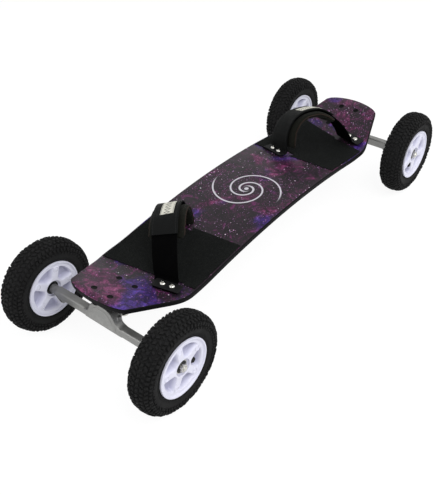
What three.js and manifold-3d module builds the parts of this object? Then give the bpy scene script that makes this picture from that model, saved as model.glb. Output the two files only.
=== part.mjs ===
// Four-wheeled mountainboard with pneumatic tyres, kingpin trucks and padded foot straps.
// Millimetres. +X points to the nose, +Y to the left, +Z up, and the ground is z = 0.
import * as THREE from 'three';
import { mergeVertices } from 'three/addons/utils/BufferGeometryUtils.js';
import Module from 'manifold-3d';

const wasm = await Module();
wasm.setup();

// Clearance between pieces that touch, and how far a cutting tool reaches past what it cuts
const FIT_GAP = 0.3;
const CUT_OVERRUN = 3;

// Deck, as seen from above and from the side, with its places measured in from each tip
const DECK_LENGTH = 922;
const DECK_WIDTH = 222;
const DECK_THICKNESS = 10.5;
const DECK_EDGE_ROUND = 2.4;
const CAMBER_RADIUS = 1950;
const AXLE_INSET = 26.8;
const CAMBER_INSET = 211;
const LOWEST_POINT_INSET = 149;
const TIP_BEND_LENGTH = 48.6;
const TIP_ANGLE = 18;
const TAPER_INSET = 135.4;
const TAPER_BLEND = 18;
const TAPER_SHARE = 0.34;
const NOSE_ROUND_LENGTH = 21;

// Grip sheets: their ends' distances from the deck's tip, and how far each slants over half the width
const GRIP_THICKNESS = 1.2;
const GRIP_SIDE_MARGIN = 4.5;
const GRIP_BRACKET_MARGIN = 2;
const GRIPS = {
  front: { innerInset: 291, outerInset: 142, innerSlant: 10, outerSlant: 19 },
  rear: { innerInset: 283, outerInset: 125, innerSlant: -4, outerSlant: 28 },
};

// Truck: where the hanger turns, measured from the axle and from the deck's underside
const TRUCK_RISE = 60.6;
const STEER_AXIS_ANGLE = 45;
const PIVOT_SETBACK = 6.2;
const PIVOT_DEPTH = 12.6;
const PIVOT_SPAN = 52;
const KINGPIN_LEAN = 8;

// Baseplate
const BASEPLATE_LENGTH = 84;
const BASEPLATE_WIDTH = 58;
const BASEPLATE_THICKNESS = 6;
const BASEPLATE_CORNER = 9;
const BASEPLATE_SETBACK = 29.7;
const BOLT_SPACING_LONG = 63.5;
const BOLT_SPACING_WIDE = 41.3;
const BOLT_RADIUS = 2.4;
const BOLT_HEAD_RADIUS = 4.8;
const BOLT_HEAD_HEIGHT = 2.8;
const BOLT_NUT_RADIUS = 5;
const BOLT_NUT_HEIGHT = 4.6;
const PIVOT_HOUSING_RADIUS = 11;
const PIVOT_HOUSING_REACH = 8;
const SEAT_BOSS_RADIUS = 14;

// Pivot cup and the hanger's pivot pin
const PIVOT_CUP_RADIUS = 7.4;
const PIVOT_CUP_DEPTH = 12;
const PIVOT_CUP_FLOOR = 2;
const PIVOT_PIN_RADIUS = 4.8;
const PIVOT_NECK_RADIUS = 8;
const PIVOT_NECK_LENGTH = 7;
const PIVOT_RELIEF = 1.5;

// Kingpin stack
const KINGPIN_RADIUS = 4.75;
const KINGPIN_HEAD_RADIUS = 7.4;
const KINGPIN_HEAD_HEIGHT = 4;
const KINGPIN_HEAD_SINK = 4;
const KINGPIN_NUT_RADIUS = 8.4;
const KINGPIN_NUT_HEIGHT = 8;
const KINGPIN_TAIL = 3;
const WASHER_THICKNESS = 1.6;
const BUSHING_RADIUS = 13;
const BUSHING_WAIST = 2;
const BOARDSIDE_BUSHING_HEIGHT = 14;
const ROADSIDE_BUSHING_HEIGHT = 11;

// Hanger
const HANGER_WIDTH = 304.8;
const BAR_HEIGHT = 20;
const BAR_DEPTH = 17;
const BAR_CORNER = 4;
const LOBE_INSET = 31.4;
const LOBE_HALF_LENGTH = 13;
const LOBE_DROP = 8;
const LOBE_HOLE_RADIUS = 2.8;
const LOBE_HOLE_DROP = 11.5;
const HANGER_END_RADIUS = 9.5;
const HANGER_END_LENGTH = 18;
const FACE_HALF_WIDTH = 48;
const FACE_KNEE_HALF_WIDTH = 33;
const FACE_KNEE_HEIGHT = 25;
const FACE_PEAK_HALF_WIDTH = 12;
const FACE_PEAK_HEIGHT = 43;
const FACE_PROUD = 1.5;
const FACE_BACK = 9;
const RING_RADIUS = 17;
const RING_HEIGHT = 12;
const RING_CLEARANCE = 1.7;
const WEB_ROOT_HALF_WIDTH = 36;
const WEB_WAIST_HALF_WIDTH = 22;
const WEB_ROOT_RISE = 26;
const WEB_ROOT_DROP = 8;
const SPINE_THICKNESS = 16;

// Axle and nuts
const AXLE_RADIUS = 4.75;
const AXLE_NUT_RADIUS = 8.2;
const AXLE_NUT_HEIGHT = 8;
const AXLE_END_PROUD = 1.6;
const AXLE_CHAMFER = 0.8;

// Wheel hub, two halves bolted face to face
const HUB_WIDTH = 49.4;
const RIM_FLANGE_RADIUS = 59.3;
const RIM_FLANGE_THICKNESS = 4.1;
const RIM_SEAT_RADIUS = 50;
const RIM_LIP_WIDTH = 3.4;
const RIM_LIP_DEPTH = 3.2;
const HUB_BORE_RADIUS = 8;
const HUB_RECESS_RADIUS = 17;
const HUB_RECESS_DEPTH = 7.6;
const POCKET_COUNT = 5;
const POCKET_INNER_RADIUS = 21;
const POCKET_OUTER_RADIUS = 48;
const POCKET_DEPTH = 12;
const POCKET_DRAFT = 2.5;
const RIB_WIDTH = 15;
const HUB_BOLT_CIRCLE = 42;
const HUB_SLEEVE_RADIUS = 3.8;
const HUB_SLEEVE_SINK = 4.4;
const HUB_DIMPLE_RADIUS = 4;
const HUB_DIMPLE_DEPTH = 5;

// Ball bearing
const BEARING_RADIUS = 14;
const BEARING_WIDTH = 8;

// Tyre
const TYRE_RADIUS = 100;
const TYRE_WIDTH = 49;
const TYRE_WALL = 4.2;
const TREAD_DEPTH = 3.6;
const TREAD_HALF_WIDTH = 22;
const SHOULDER_DROP = 8.6;
const CROWN_LEVEL_SHARE = 0.3;
const TREAD_ROW_SHARES = [0.3, 0.42, 0.54];
const BEAD_WIDTH = 4.4;

// Inner tube and valve
const TUBE_WALL = 1.6;
const VALVE_RADIUS = 3.4;
const VALVE_CLEARANCE = 0.7;
const VALVE_BORE_RADIUS = 1.3;
const VALVE_CAP_RADIUS = 4.6;
const VALVE_PLACE_RADIUS = 28;
const VALVE_END_SINK = 4;

// Foot strap: a line across the deck, an arch above it and two layers of webbing. The webbing lies
// square to the foot, turned from the line, and turns and leans further towards the arch's crest.
const STRAP_ANGLE = 34;
const BRACKET_ANGLE = 13.5;
const CREST_ANGLE = 25;
const CREST_LEAN = 9;
const STRAP_WIDTH = 52;
const STRAP_THICKNESS = 3;
const STRAP_LAYER_GAP = 0.5;
const ARCH_TO_BRACKET = 11;
const ARCH_SHIFT = 6;
const ARCH_FOOT_TUCK = 7;
const ARCH_TUCK_HEIGHT = 16;
const INBOARD_SQUARENESS_SHARE = 2.6;
const OUTBOARD_SQUARENESS_SHARE = 1.5;
const INSTEP_SLOPE_SHARE = 0.36;

// Brackets that hold the webbing down, with two screws each
const BRACKET_EDGE_DISTANCE = 55.1;
const BRACKET_WIDTH = 58;
const BRACKET_LENGTH = 24;
const BRACKET_THICKNESS = 2.5;
const BRACKET_CORNER = 4;
const TAB_CLEARANCE = 0.6;
const SCREW_SPACING = 20;
const SCREW_RADIUS = 2.6;
const SCREW_HEAD_RADIUS = 5;
const SCREW_HEAD_HEIGHT = 3.2;
const TNUT_RADIUS = 8;
const TNUT_THICKNESS = 1.4;

// Foam pad under the webbing, its section given as shares of half its width and of its thickness
const PAD_WIDTH = 78;
const PAD_THICKNESS = 14;
const PAD_CHANNEL_DEPTH = 1.8;
const PAD_CHANNEL_COUNT = 4;
const PAD_SECTION_SHARES = [
  [0.66, 0], [0.82, -0.12], [1, 0.3], [0.95, 0.8], [0.6, 1.02],
  [0, 1.12], [-0.6, 1.02], [-0.95, 0.8], [-1, 0.3], [-0.82, -0.12], [-0.66, 0],
];

// Each binding: its middle's distance from the deck's tip, its place across the deck, which way is
// outboard, and the rise of its arch
const BINDINGS = {
  front: { inset: 213.6, y: 8.5, facing: 1, rise: 87 },
  rear: { inset: 203, y: 10.2, facing: -1, rise: 100 },
};

// How far each wheel has rolled: the valve's angle from +X towards +Z
const WHEEL_ROLL_ANGLES = { front_left: -168, front_right: 146, rear_left: -54, rear_right: 30 };

// Facet counts
const KNOB_COUNT = 20;
const SIDE_COUNTS = {
  tread: 2 * KNOB_COUNT, sidewall: 12, carcass: 12, wheel: 15, boss: 10, collar: 8, pin: 8, bolt: 6, bore: 4,
};
const ARCH_STEP_COUNT = 4 * (PAD_CHANNEL_COUNT + 1);
const STRAP_FREE_STEP_COUNT = 6;
const PAD_FREE_STEP_COUNT = 4;
const ARCH_SAMPLE_COUNT = 240;
const SEAT_SAMPLE_COUNT = 16;

const MATERIALS = {
  deck: finish(0x2a1630, 0.38, 0),
  grip: finish(0x17181a, 0.95, 0),
  casting: finish(0x9a9896, 0.45, 0.9),
  blackMetal: finish(0x1b1b1d, 0.5, 0.6),
  steel: finish(0xb9b8b2, 0.3, 1),
  urethane: finish(0x2b2b2e, 0.6, 0),
  nylon: finish(0xe9e8f2, 0.35, 0),
  rubber: finish(0x16171a, 0.85, 0),
  tubeRubber: finish(0x222224, 0.7, 0),
  webbing: finish(0x0d0e10, 0.9, 0),
  foam: finish(0x1e1f18, 0.95, 0),
};

function finish(color, roughness, metalness) {
  return new THREE.MeshStandardMaterial({ color, roughness, metalness });
}

const QUARTER_TURN = Math.PI / 2;
const radians = THREE.MathUtils.degToRad;
const vector = (x, y, z) => new THREE.Vector3(x, y, z);
const AXIS_X = vector(1, 0, 0);
const AXIS_Y = vector(0, 1, 0);
const AXIS_Z = vector(0, 0, 1);
const ORIGIN = vector(0, 0, 0);

// A point moved along a direction
const along = (base, direction, distance) => base.clone().addScaledVector(direction, distance);

// A welded, outward-facing solid from a closed geometry
function solidOf(geometry) {
  const bare = geometry.clone();
  bare.deleteAttribute('normal');
  bare.deleteAttribute('uv');
  const welded = mergeVertices(bare);
  const kept = [];
  for (let i = 0; i < welded.index.count; i += 3) {
    const [a, b, c] = [0, 1, 2].map((step) => welded.index.getX(i + step));
    if (a !== b && b !== c && c !== a) kept.push(a, b, c);
  }
  if (signedVolume(welded.attributes.position, kept) < 0) kept.reverse();
  return new wasm.Manifold(new wasm.Mesh({
    numProp: 3,
    vertProperties: new Float32Array(welded.attributes.position.array),
    triVerts: new Uint32Array(kept),
  }));
}

function signedVolume(places, corners) {
  const corner = (i) => vector(0, 0, 0).fromBufferAttribute(places, corners[i]);
  let volume = 0;
  for (let i = 0; i < corners.length; i += 3) {
    volume += corner(i).dot(corner(i + 1).cross(corner(i + 2)));
  }
  return volume;
}

const join = (first, ...others) => others.reduce((all, next) => all.add(next), first);
const cut = (first, ...tools) => tools.reduce((rest, tool) => rest.subtract(tool), first);

const board = new THREE.Group();

function addPiece(name, solid, material, parent = board) {
  const { vertProperties, triVerts } = solid.getMesh();
  const geometry = new THREE.BufferGeometry();
  geometry.setAttribute('position', new THREE.BufferAttribute(vertProperties, 3));
  geometry.setIndex(new THREE.BufferAttribute(triVerts, 1));
  const mesh = new THREE.Mesh(geometry, material);
  mesh.name = name;
  parent.add(mesh);
}

function addFrame(parent, x, y, z, turn) {
  const frame = new THREE.Group();
  frame.position.set(x, y, z);
  frame.rotation.z = turn;
  parent.add(frame);
  return frame;
}

// Turns a geometry made along Y to another axis, and moves its origin to a base point
function aimed(geometry, axis, base) {
  geometry.applyQuaternion(new THREE.Quaternion().setFromUnitVectors(AXIS_Y, axis));
  return geometry.translate(base.x, base.y, base.z);
}

// A solid turned from an outline of [radius, height] points
function turned(outline, sides, axis = AXIS_Y, base = ORIGIN) {
  const points = [...outline, outline[0]].map(([radius, height]) => new THREE.Vector2(radius, height));
  return solidOf(aimed(new THREE.LatheGeometry(points, sides), axis, base));
}

// A pin, disc or boss from one distance along an axis to another
function rod(radius, from, to, sides, axis = AXIS_Y, base = ORIGIN) {
  const geometry = new THREE.CylinderGeometry(radius, radius, to - from, sides);
  return solidOf(aimed(geometry.translate(0, (from + to) / 2, 0), axis, base));
}

// Radius of a faceted hole whose flats clear a round pin all the way round
const boreRadius = (pin, sides, gap = FIT_GAP) => (pin + gap) / Math.cos(Math.PI / sides);

// A flat outline pushed up from a height and then placed by a matrix
function prism(shape, from, thickness, matrix = new THREE.Matrix4()) {
  const settings = { depth: thickness, bevelEnabled: false, curveSegments: 2 };
  return solidOf(new THREE.ExtrudeGeometry(shape, settings).translate(0, 0, from).applyMatrix4(matrix));
}

const outlineShape = (points) => new THREE.Shape(points.map(([x, y]) => new THREE.Vector2(x, y)));

function roundedRectangle(halfLength, halfWidth, corner) {
  const shape = new THREE.Shape();
  const [x, y] = [halfLength - corner, halfWidth - corner];
  [[x, y], [-x, y], [-x, -y], [x, -y]].forEach(([cx, cy], quarter) => {
    shape.absarc(cx, cy, corner, quarter * QUARTER_TURN, (quarter + 1) * QUARTER_TURN);
  });
  return shape;
}

function indexed(points, faces) {
  const geometry = new THREE.BufferGeometry();
  const places = points.flatMap((p) => [p.x, p.y, p.z]);
  geometry.setAttribute('position', new THREE.Float32BufferAttribute(places, 3));
  geometry.setIndex(faces);
  return solidOf(geometry);
}

// A skin over sections that have the same number of points, with both ends closed
function loft(sections) {
  const count = sections[0].length;
  const points = sections.flat();
  const faces = [];
  for (let i = 0; i < sections.length - 1; i += 1) {
    for (let j = 0; j < count; j += 1) {
      const [a, b] = [i * count + j, i * count + ((j + 1) % count)];
      faces.push(a, b, a + count, b, b + count, a + count);
    }
  }
  for (const [index, flipped] of [[0, true], [sections.length - 1, false]]) {
    const middle = sections[index].reduce((sum, p) => sum.add(p), vector(0, 0, 0)).divideScalar(count);
    const centre = points.push(middle) - 1;
    for (let j = 0; j < count; j += 1) {
      const [a, b] = [index * count + j, index * count + ((j + 1) % count)];
      faces.push(...(flipped ? [b, a, centre] : [a, b, centre]));
    }
  }
  return indexed(points, faces);
}

// A ring-shaped skin over circles of any point counts, each joined to the next and the last to the first
function ringSkin(circles) {
  const points = circles.flat();
  const faces = [];
  let start = 0;
  circles.forEach((circle, k) => {
    const nextCircle = circles[(k + 1) % circles.length];
    const nextStart = k + 1 === circles.length ? 0 : start + circle.length;
    const [n, m] = [circle.length, nextCircle.length];
    let [i, j] = [0, 0];
    while (i < n || j < m) {
      const [a, b] = [start + (i % n), nextStart + (j % m)];
      if (j >= m || (i < n && (i + 1) * m <= (j + 1) * n)) {
        i += 1;
        faces.push(a, b, start + (i % n));
      } else {
        j += 1;
        faces.push(a, b, nextStart + (j % m));
      }
    }
    start += n;
  });
  return indexed(points, faces);
}

// A closed outline moved inwards by an even distance
function inset(outline, distance) {
  const points = outline.map(([x, y]) => new THREE.Vector2(x, y));
  const inward = THREE.ShapeUtils.isClockWise(points) ? -1 : 1;
  const normalAfter = (i) => {
    const edge = points[(i + 1) % points.length].clone().sub(points[i % points.length]).normalize();
    return new THREE.Vector2(-edge.y, edge.x).multiplyScalar(inward);
  };
  return points.map((point, i) => {
    const [before, after] = [normalAfter(i + points.length - 1), normalAfter(i)];
    const move = before.clone().add(after).multiplyScalar(distance / (1 + before.dot(after)));
    return [point.x + move.x, point.y + move.y];
  });
}

// Deck height: the slope changes evenly between these places
const AXLE_X = DECK_LENGTH / 2 - AXLE_INSET;
const AXLE_HEIGHT = TYRE_RADIUS;
const TIP_SLOPE = Math.tan(radians(TIP_ANGLE));
const CAMBER_END_X = DECK_LENGTH / 2 - CAMBER_INSET;
const LOWEST_POINT_X = DECK_LENGTH / 2 - LOWEST_POINT_INSET;
const BEND_END_X = LOWEST_POINT_X + TIP_BEND_LENGTH;
const NOSE_START_X = DECK_LENGTH / 2 - NOSE_ROUND_LENGTH;
const DECK_SLOPES = [
  [0, 0],
  [CAMBER_END_X, -CAMBER_END_X / CAMBER_RADIUS],
  [LOWEST_POINT_X, 0],
  [BEND_END_X, TIP_SLOPE],
  [DECK_LENGTH, TIP_SLOPE],
];

function riseFromCentre(x) {
  const reach = Math.abs(x);
  let rise = 0;
  for (let i = 1; i < DECK_SLOPES.length; i += 1) {
    const [[startX, startSlope], [endX, endSlope]] = [DECK_SLOPES[i - 1], DECK_SLOPES[i]];
    const share = THREE.MathUtils.clamp((reach - startX) / (endX - startX), 0, 1);
    rise += share * (endX - startX) * (startSlope + share * (endSlope - startSlope) / 2);
  }
  return rise;
}

const DECK_CENTRE_HEIGHT = AXLE_HEIGHT + TRUCK_RISE + DECK_THICKNESS - riseFromCentre(AXLE_X);
const deckCurve = (x) => DECK_CENTRE_HEIGHT + riseFromCentre(x);

function deckHalfWidth(x) {
  const past = Math.abs(x) - DECK_LENGTH / 2 + TAPER_INSET;
  const blend = THREE.MathUtils.clamp((past + TAPER_BLEND) / (2 * TAPER_BLEND), 0, 1);
  const tapered = past > TAPER_BLEND ? past : TAPER_BLEND * blend * blend;
  const nose = THREE.MathUtils.clamp((Math.abs(x) - NOSE_START_X) / NOSE_ROUND_LENGTH, 0, 1);
  return (DECK_WIDTH / 2 - TAPER_SHARE * tapered) * Math.sqrt(1 - nose * nose);
}

const NOSE_SHARES = [0, 0.33, 0.65, 0.93];

// Places of the deck's cross-sections, closest where it bends and round the nose
function deckStations() {
  const spread = (from, to, steps) => (
    Array.from({ length: steps }, (_, i) => from + (to - from) * i / steps)
  );
  const nose = NOSE_SHARES.map((share) => NOSE_START_X + NOSE_ROUND_LENGTH * Math.sin(share * QUARTER_TURN));
  const half = [
    ...spread(0, CAMBER_END_X, 3),
    ...spread(CAMBER_END_X, LOWEST_POINT_X, 2),
    ...spread(LOWEST_POINT_X, BEND_END_X, 4),
    ...spread(BEND_END_X, NOSE_START_X, 2),
    ...nose,
  ];
  return [...half.slice(1).reverse().map((x) => -x), ...half];
}

const STATIONS = deckStations();

// Height of the faceted deck top, on which everything else is seated
function deckTop(x) {
  const i = THREE.MathUtils.clamp(STATIONS.findIndex((station) => station > x), 1, STATIONS.length - 1);
  const share = (x - STATIONS[i - 1]) / (STATIONS[i] - STATIONS[i - 1]);
  return THREE.MathUtils.lerp(deckCurve(STATIONS[i - 1]), deckCurve(STATIONS[i]), share);
}

function deckBlank() {
  return loft(STATIONS.map((x) => {
    const [half, top, bottom] = [deckHalfWidth(x), deckCurve(x), deckCurve(x) - DECK_THICKNESS];
    const edge = Math.min(DECK_EDGE_ROUND, half / 2);
    const corners = [
      [half - edge, top], [half, top - edge], [half, bottom + edge], [half - edge, bottom],
      [edge - half, bottom], [-half, bottom + edge], [-half, top - edge], [edge - half, top],
    ];
    return corners.map(([y, z]) => vector(x, y, z));
  }));
}

// Truck frame: x outboard and z up from the middle of the axle
const steerAxis = vector(Math.cos(radians(STEER_AXIS_ANGLE)), 0, Math.sin(radians(STEER_AXIS_ANGLE)));
const kingpinUp = vector(Math.sin(radians(KINGPIN_LEAN)), 0, Math.cos(radians(KINGPIN_LEAN)));
const plateOut = vector(Math.cos(radians(TIP_ANGLE)), 0, Math.sin(radians(TIP_ANGLE)));
const plateUp = vector(-plateOut.z, 0, plateOut.x);
const underDeck = (x) => TRUCK_RISE + TIP_SLOPE * x;
const PIVOT = vector(-PIVOT_SETBACK, 0, underDeck(-PIVOT_SETBACK) - PIVOT_DEPTH);
const RING = along(PIVOT, steerAxis, -PIVOT_SPAN);
const PLATE_CENTRE = vector(-BASEPLATE_SETBACK, 0, underDeck(-BASEPLATE_SETBACK));
const plateMatrix = new THREE.Matrix4().makeBasis(plateOut, AXIS_Y, plateUp).setPosition(PLATE_CENTRE);

// Distances along the kingpin from the middle of the hanger's ring
const RING_FACE = RING_HEIGHT / 2;
const BOARDSIDE_TOP = RING_FACE + FIT_GAP + BOARDSIDE_BUSHING_HEIGHT;
const ROADSIDE_END = RING_FACE + FIT_GAP + ROADSIDE_BUSHING_HEIGHT;
const SEAT_FACE = BOARDSIDE_TOP + FIT_GAP + WASHER_THICKNESS + FIT_GAP;
const NUT_FACE = ROADSIDE_END + FIT_GAP + WASHER_THICKNESS + FIT_GAP;
const KINGPIN_REACH = PLATE_CENTRE.clone().sub(RING).dot(plateUp) / kingpinUp.dot(plateUp);
const KINGPIN_HEAD_TOP = KINGPIN_REACH - KINGPIN_HEAD_SINK;

// Distances along the steering axis from the pivot
const PIVOT_MOUTH = -PIVOT_HOUSING_REACH;
const PIVOT_CUP_END = PIVOT_MOUTH + PIVOT_CUP_DEPTH;
const NECK_END = PIVOT_MOUTH - FIT_GAP;
const NECK_START = NECK_END - PIVOT_NECK_LENGTH;

const DECK_NORMAL_THICKNESS = DECK_THICKNESS * plateUp.z;
const BOLT_HEAD_TOP = DECK_NORMAL_THICKNESS - FIT_GAP;
const BOLT_HEAD_SEAT = BOLT_HEAD_TOP - BOLT_HEAD_HEIGHT;

const truckBoltPlaces = [-1, 1].flatMap((row) => [-1, 1].map((side) => (
  along(PLATE_CENTRE, plateOut, row * BOLT_SPACING_LONG / 2).setY(side * BOLT_SPACING_WIDE / 2)
)));

// A deck bolt with a flush head above and a nut below the plate
function truckBolt(place) {
  const insidePlate = -FIT_GAP - BASEPLATE_THICKNESS / 2;
  const nutEnd = -FIT_GAP - BASEPLATE_THICKNESS - BOLT_NUT_HEIGHT;
  return turned([
    [0, BOLT_HEAD_TOP], [BOLT_HEAD_RADIUS, BOLT_HEAD_TOP], [BOLT_HEAD_RADIUS, BOLT_HEAD_SEAT],
    [BOLT_RADIUS, BOLT_HEAD_SEAT], [BOLT_RADIUS, insidePlate], [BOLT_NUT_RADIUS, insidePlate],
    [BOLT_NUT_RADIUS, nutEnd], [0, nutEnd],
  ], SIDE_COUNTS.bolt, plateUp, place);
}

function truckBoltHole(place) {
  const [head, shank] = [BOLT_HEAD_RADIUS, BOLT_RADIUS].map((radius) => boreRadius(radius, SIDE_COUNTS.bolt));
  const seat = BOLT_HEAD_SEAT - FIT_GAP;
  const top = DECK_NORMAL_THICKNESS + CUT_OVERRUN;
  return turned([
    [0, top], [head, top], [head, seat], [shank, seat], [shank, -CUT_OVERRUN], [0, -CUT_OVERRUN],
  ], SIDE_COUNTS.bolt, plateUp, place);
}

// The cast plate under the deck, its kingpin seat and its pivot housing, with the four deck bolts
function baseplate() {
  const outline = roundedRectangle(BASEPLATE_LENGTH / 2, BASEPLATE_WIDTH / 2, BASEPLATE_CORNER);
  const deckSpace = roundedRectangle(BASEPLATE_LENGTH, BASEPLATE_WIDTH, BASEPLATE_CORNER);
  const housingEnd = PIVOT_CUP_END + BASEPLATE_LENGTH / 4;
  const headSeat = KINGPIN_HEAD_TOP - KINGPIN_HEAD_HEIGHT - FIT_GAP;
  const [shankBore, headBore, cupBore] = [
    KINGPIN_RADIUS, KINGPIN_HEAD_RADIUS, PIVOT_CUP_RADIUS,
  ].map((radius) => boreRadius(radius, SIDE_COUNTS.pin));
  const casting = join(
    prism(outline, -FIT_GAP - BASEPLATE_THICKNESS, BASEPLATE_THICKNESS + CUT_OVERRUN, plateMatrix),
    rod(SEAT_BOSS_RADIUS, SEAT_FACE, KINGPIN_REACH + CUT_OVERRUN, SIDE_COUNTS.boss, kingpinUp, RING),
    rod(PIVOT_HOUSING_RADIUS, PIVOT_MOUTH, housingEnd, SIDE_COUNTS.boss, steerAxis, PIVOT),
  );
  const open = cut(
    casting,
    prism(deckSpace, -FIT_GAP, BASEPLATE_LENGTH, plateMatrix),
    rod(shankBore, 0, KINGPIN_REACH, SIDE_COUNTS.pin, kingpinUp, RING),
    rod(headBore, headSeat, 2 * KINGPIN_REACH, SIDE_COUNTS.pin, kingpinUp, RING),
    rod(cupBore, 2 * PIVOT_MOUTH, PIVOT_CUP_END + FIT_GAP, SIDE_COUNTS.pin, steerAxis, PIVOT),
  );
  return join(open, ...truckBoltPlaces.map(truckBolt));
}

// The cup lines the housing from its mouth and holds the hanger's pin
function pivotCup() {
  const bore = boreRadius(PIVOT_PIN_RADIUS, SIDE_COUNTS.pin);
  return cut(
    rod(PIVOT_CUP_RADIUS, PIVOT_MOUTH, PIVOT_CUP_END, SIDE_COUNTS.pin, steerAxis, PIVOT),
    rod(bore, PIVOT_MOUTH - CUT_OVERRUN, PIVOT_CUP_END - PIVOT_CUP_FLOOR, SIDE_COUNTS.pin, steerAxis, PIVOT),
  );
}

function kingpin() {
  const nutEnd = -NUT_FACE - KINGPIN_NUT_HEIGHT;
  const headSeat = KINGPIN_HEAD_TOP - KINGPIN_HEAD_HEIGHT;
  return join(
    rod(KINGPIN_RADIUS, nutEnd - KINGPIN_TAIL, KINGPIN_HEAD_TOP, SIDE_COUNTS.pin, kingpinUp, RING),
    rod(KINGPIN_HEAD_RADIUS, headSeat, KINGPIN_HEAD_TOP, SIDE_COUNTS.pin, kingpinUp, RING),
    rod(KINGPIN_NUT_RADIUS, nutEnd, -NUT_FACE, SIDE_COUNTS.bolt, kingpinUp, RING),
  );
}

// A washer round the kingpin, or a bushing whose waist is drawn in
function kingpinCollar(from, to, waist = 0) {
  const bore = boreRadius(KINGPIN_RADIUS, SIDE_COUNTS.pin);
  const middle = waist > 0 ? [[BUSHING_RADIUS - waist, (from + to) / 2]] : [];
  return turned([
    [bore, from], [BUSHING_RADIUS, from], ...middle, [BUSHING_RADIUS, to], [bore, to],
  ], SIDE_COUNTS.collar, kingpinUp, RING);
}

const LOBE_Y = HANGER_WIDTH / 2 - LOBE_INSET;

// A section across the hanger's bar with rounded corners
function barSection(y, top, bottom, halfDepth, corner) {
  const [high, low] = [top - corner, corner - bottom];
  return [[1, high], [-1, high], [-1, low], [1, low]].flatMap(([side, z], quarter) => [0, 1].map((turn) => {
    const angle = (quarter + turn) * QUARTER_TURN;
    return vector(side * (halfDepth - corner) + corner * Math.cos(angle), y, z + corner * Math.sin(angle));
  }));
}

// The bar between the wheels: flat-sided, with a hanging lobe near each round end
function hangerBar() {
  const half = BAR_HEIGHT / 2;
  const lobes = [-1, -0.45, 0.45, 1].map((share) => {
    const drop = LOBE_DROP * Math.cos(share * Math.PI / 2);
    return [LOBE_Y + share * LOBE_HALF_LENGTH, half, half + drop, BAR_DEPTH / 2, BAR_CORNER];
  });
  const end = Array(4).fill(HANGER_END_RADIUS);
  const places = [
    [0, half, half, BAR_DEPTH / 2, BAR_CORNER],
    ...lobes,
    [HANGER_WIDTH / 2 - HANGER_END_LENGTH, ...end],
    [HANGER_WIDTH / 2, ...end],
  ];
  const right = places.slice(1).reverse().map(([y, ...sizes]) => barSection(-y, ...sizes));
  return loft([...right, ...places.map((place) => barSection(...place))]);
}

// The bell-shaped front of the hanger
function hangerFace() {
  const [foot, knee] = [BAR_HEIGHT / 2, FACE_KNEE_HALF_WIDTH];
  const shape = new THREE.Shape();
  shape.moveTo(-FACE_HALF_WIDTH, FACE_PROUD - foot);
  shape.lineTo(FACE_HALF_WIDTH, FACE_PROUD - foot);
  shape.lineTo(FACE_HALF_WIDTH, foot);
  shape.quadraticCurveTo(knee + foot / 2, foot, knee, FACE_KNEE_HEIGHT);
  shape.quadraticCurveTo(2 * FACE_PEAK_HALF_WIDTH, FACE_PEAK_HEIGHT, FACE_PEAK_HALF_WIDTH, FACE_PEAK_HEIGHT);
  shape.lineTo(-FACE_PEAK_HALF_WIDTH, FACE_PEAK_HEIGHT);
  shape.quadraticCurveTo(-2 * FACE_PEAK_HALF_WIDTH, FACE_PEAK_HEIGHT, -knee, FACE_KNEE_HEIGHT);
  shape.quadraticCurveTo(-knee - foot / 2, foot, -FACE_HALF_WIDTH, foot);
  const upright = new THREE.Matrix4().makeBasis(AXIS_Y, AXIS_Z, AXIS_X);
  return prism(shape, -FACE_BACK, FACE_BACK + BAR_DEPTH / 2 + FACE_PROUD, upright);
}

// The web narrows from the bar to the kingpin ring, with hollow sides
function hangerWeb() {
  const ringFront = RING.x + RING_RADIUS;
  const ringDrop = RING_RADIUS * kingpinUp.x;
  const [ringLow, ringHigh] = [RING.z - RING_FACE, RING.z + RING_FACE - ringDrop];
  const waistX = (ringFront - FACE_BACK) / 2;
  const rows = [
    [0, WEB_ROOT_HALF_WIDTH, -WEB_ROOT_DROP, WEB_ROOT_RISE],
    [-FACE_BACK, WEB_ROOT_HALF_WIDTH, -WEB_ROOT_DROP, WEB_ROOT_RISE],
    [waistX, WEB_WAIST_HALF_WIDTH, (ringLow - WEB_ROOT_DROP) / 2, (ringHigh + WEB_ROOT_RISE) / 2],
    [ringFront, RING_RADIUS, ringLow, ringHigh],
    [RING.x + RING_RADIUS / 2, RING_RADIUS / 2, ringLow, ringHigh - ringDrop],
  ];
  return loft(rows.map(([x, half, low, high]) => [
    vector(x, half, low), vector(x, half, high), vector(x, -half, high), vector(x, -half, low),
  ]));
}

// The spine carries the pivot neck up from the web, clear of the bushings
function hangerSpine() {
  const [foot, mouth] = [along(PIVOT, steerAxis, NECK_START), along(PIVOT, steerAxis, NECK_END)];
  const ringFront = RING.x + RING_RADIUS;
  const back = foot.x - PIVOT_NECK_RADIUS / 2;
  const outline = [
    [0, 0], [ringFront, 0], [ringFront, RING.z + RING_FACE], [back, foot.z - PIVOT_NECK_RADIUS],
    [back, foot.z], [mouth.x, mouth.z], [0, mouth.z - PIVOT_NECK_RADIUS],
  ];
  const upright = new THREE.Matrix4().makeRotationX(Math.PI / 2);
  return prism(outlineShape(outline), -SPINE_THICKNESS / 2, SPINE_THICKNESS, upright);
}

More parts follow.
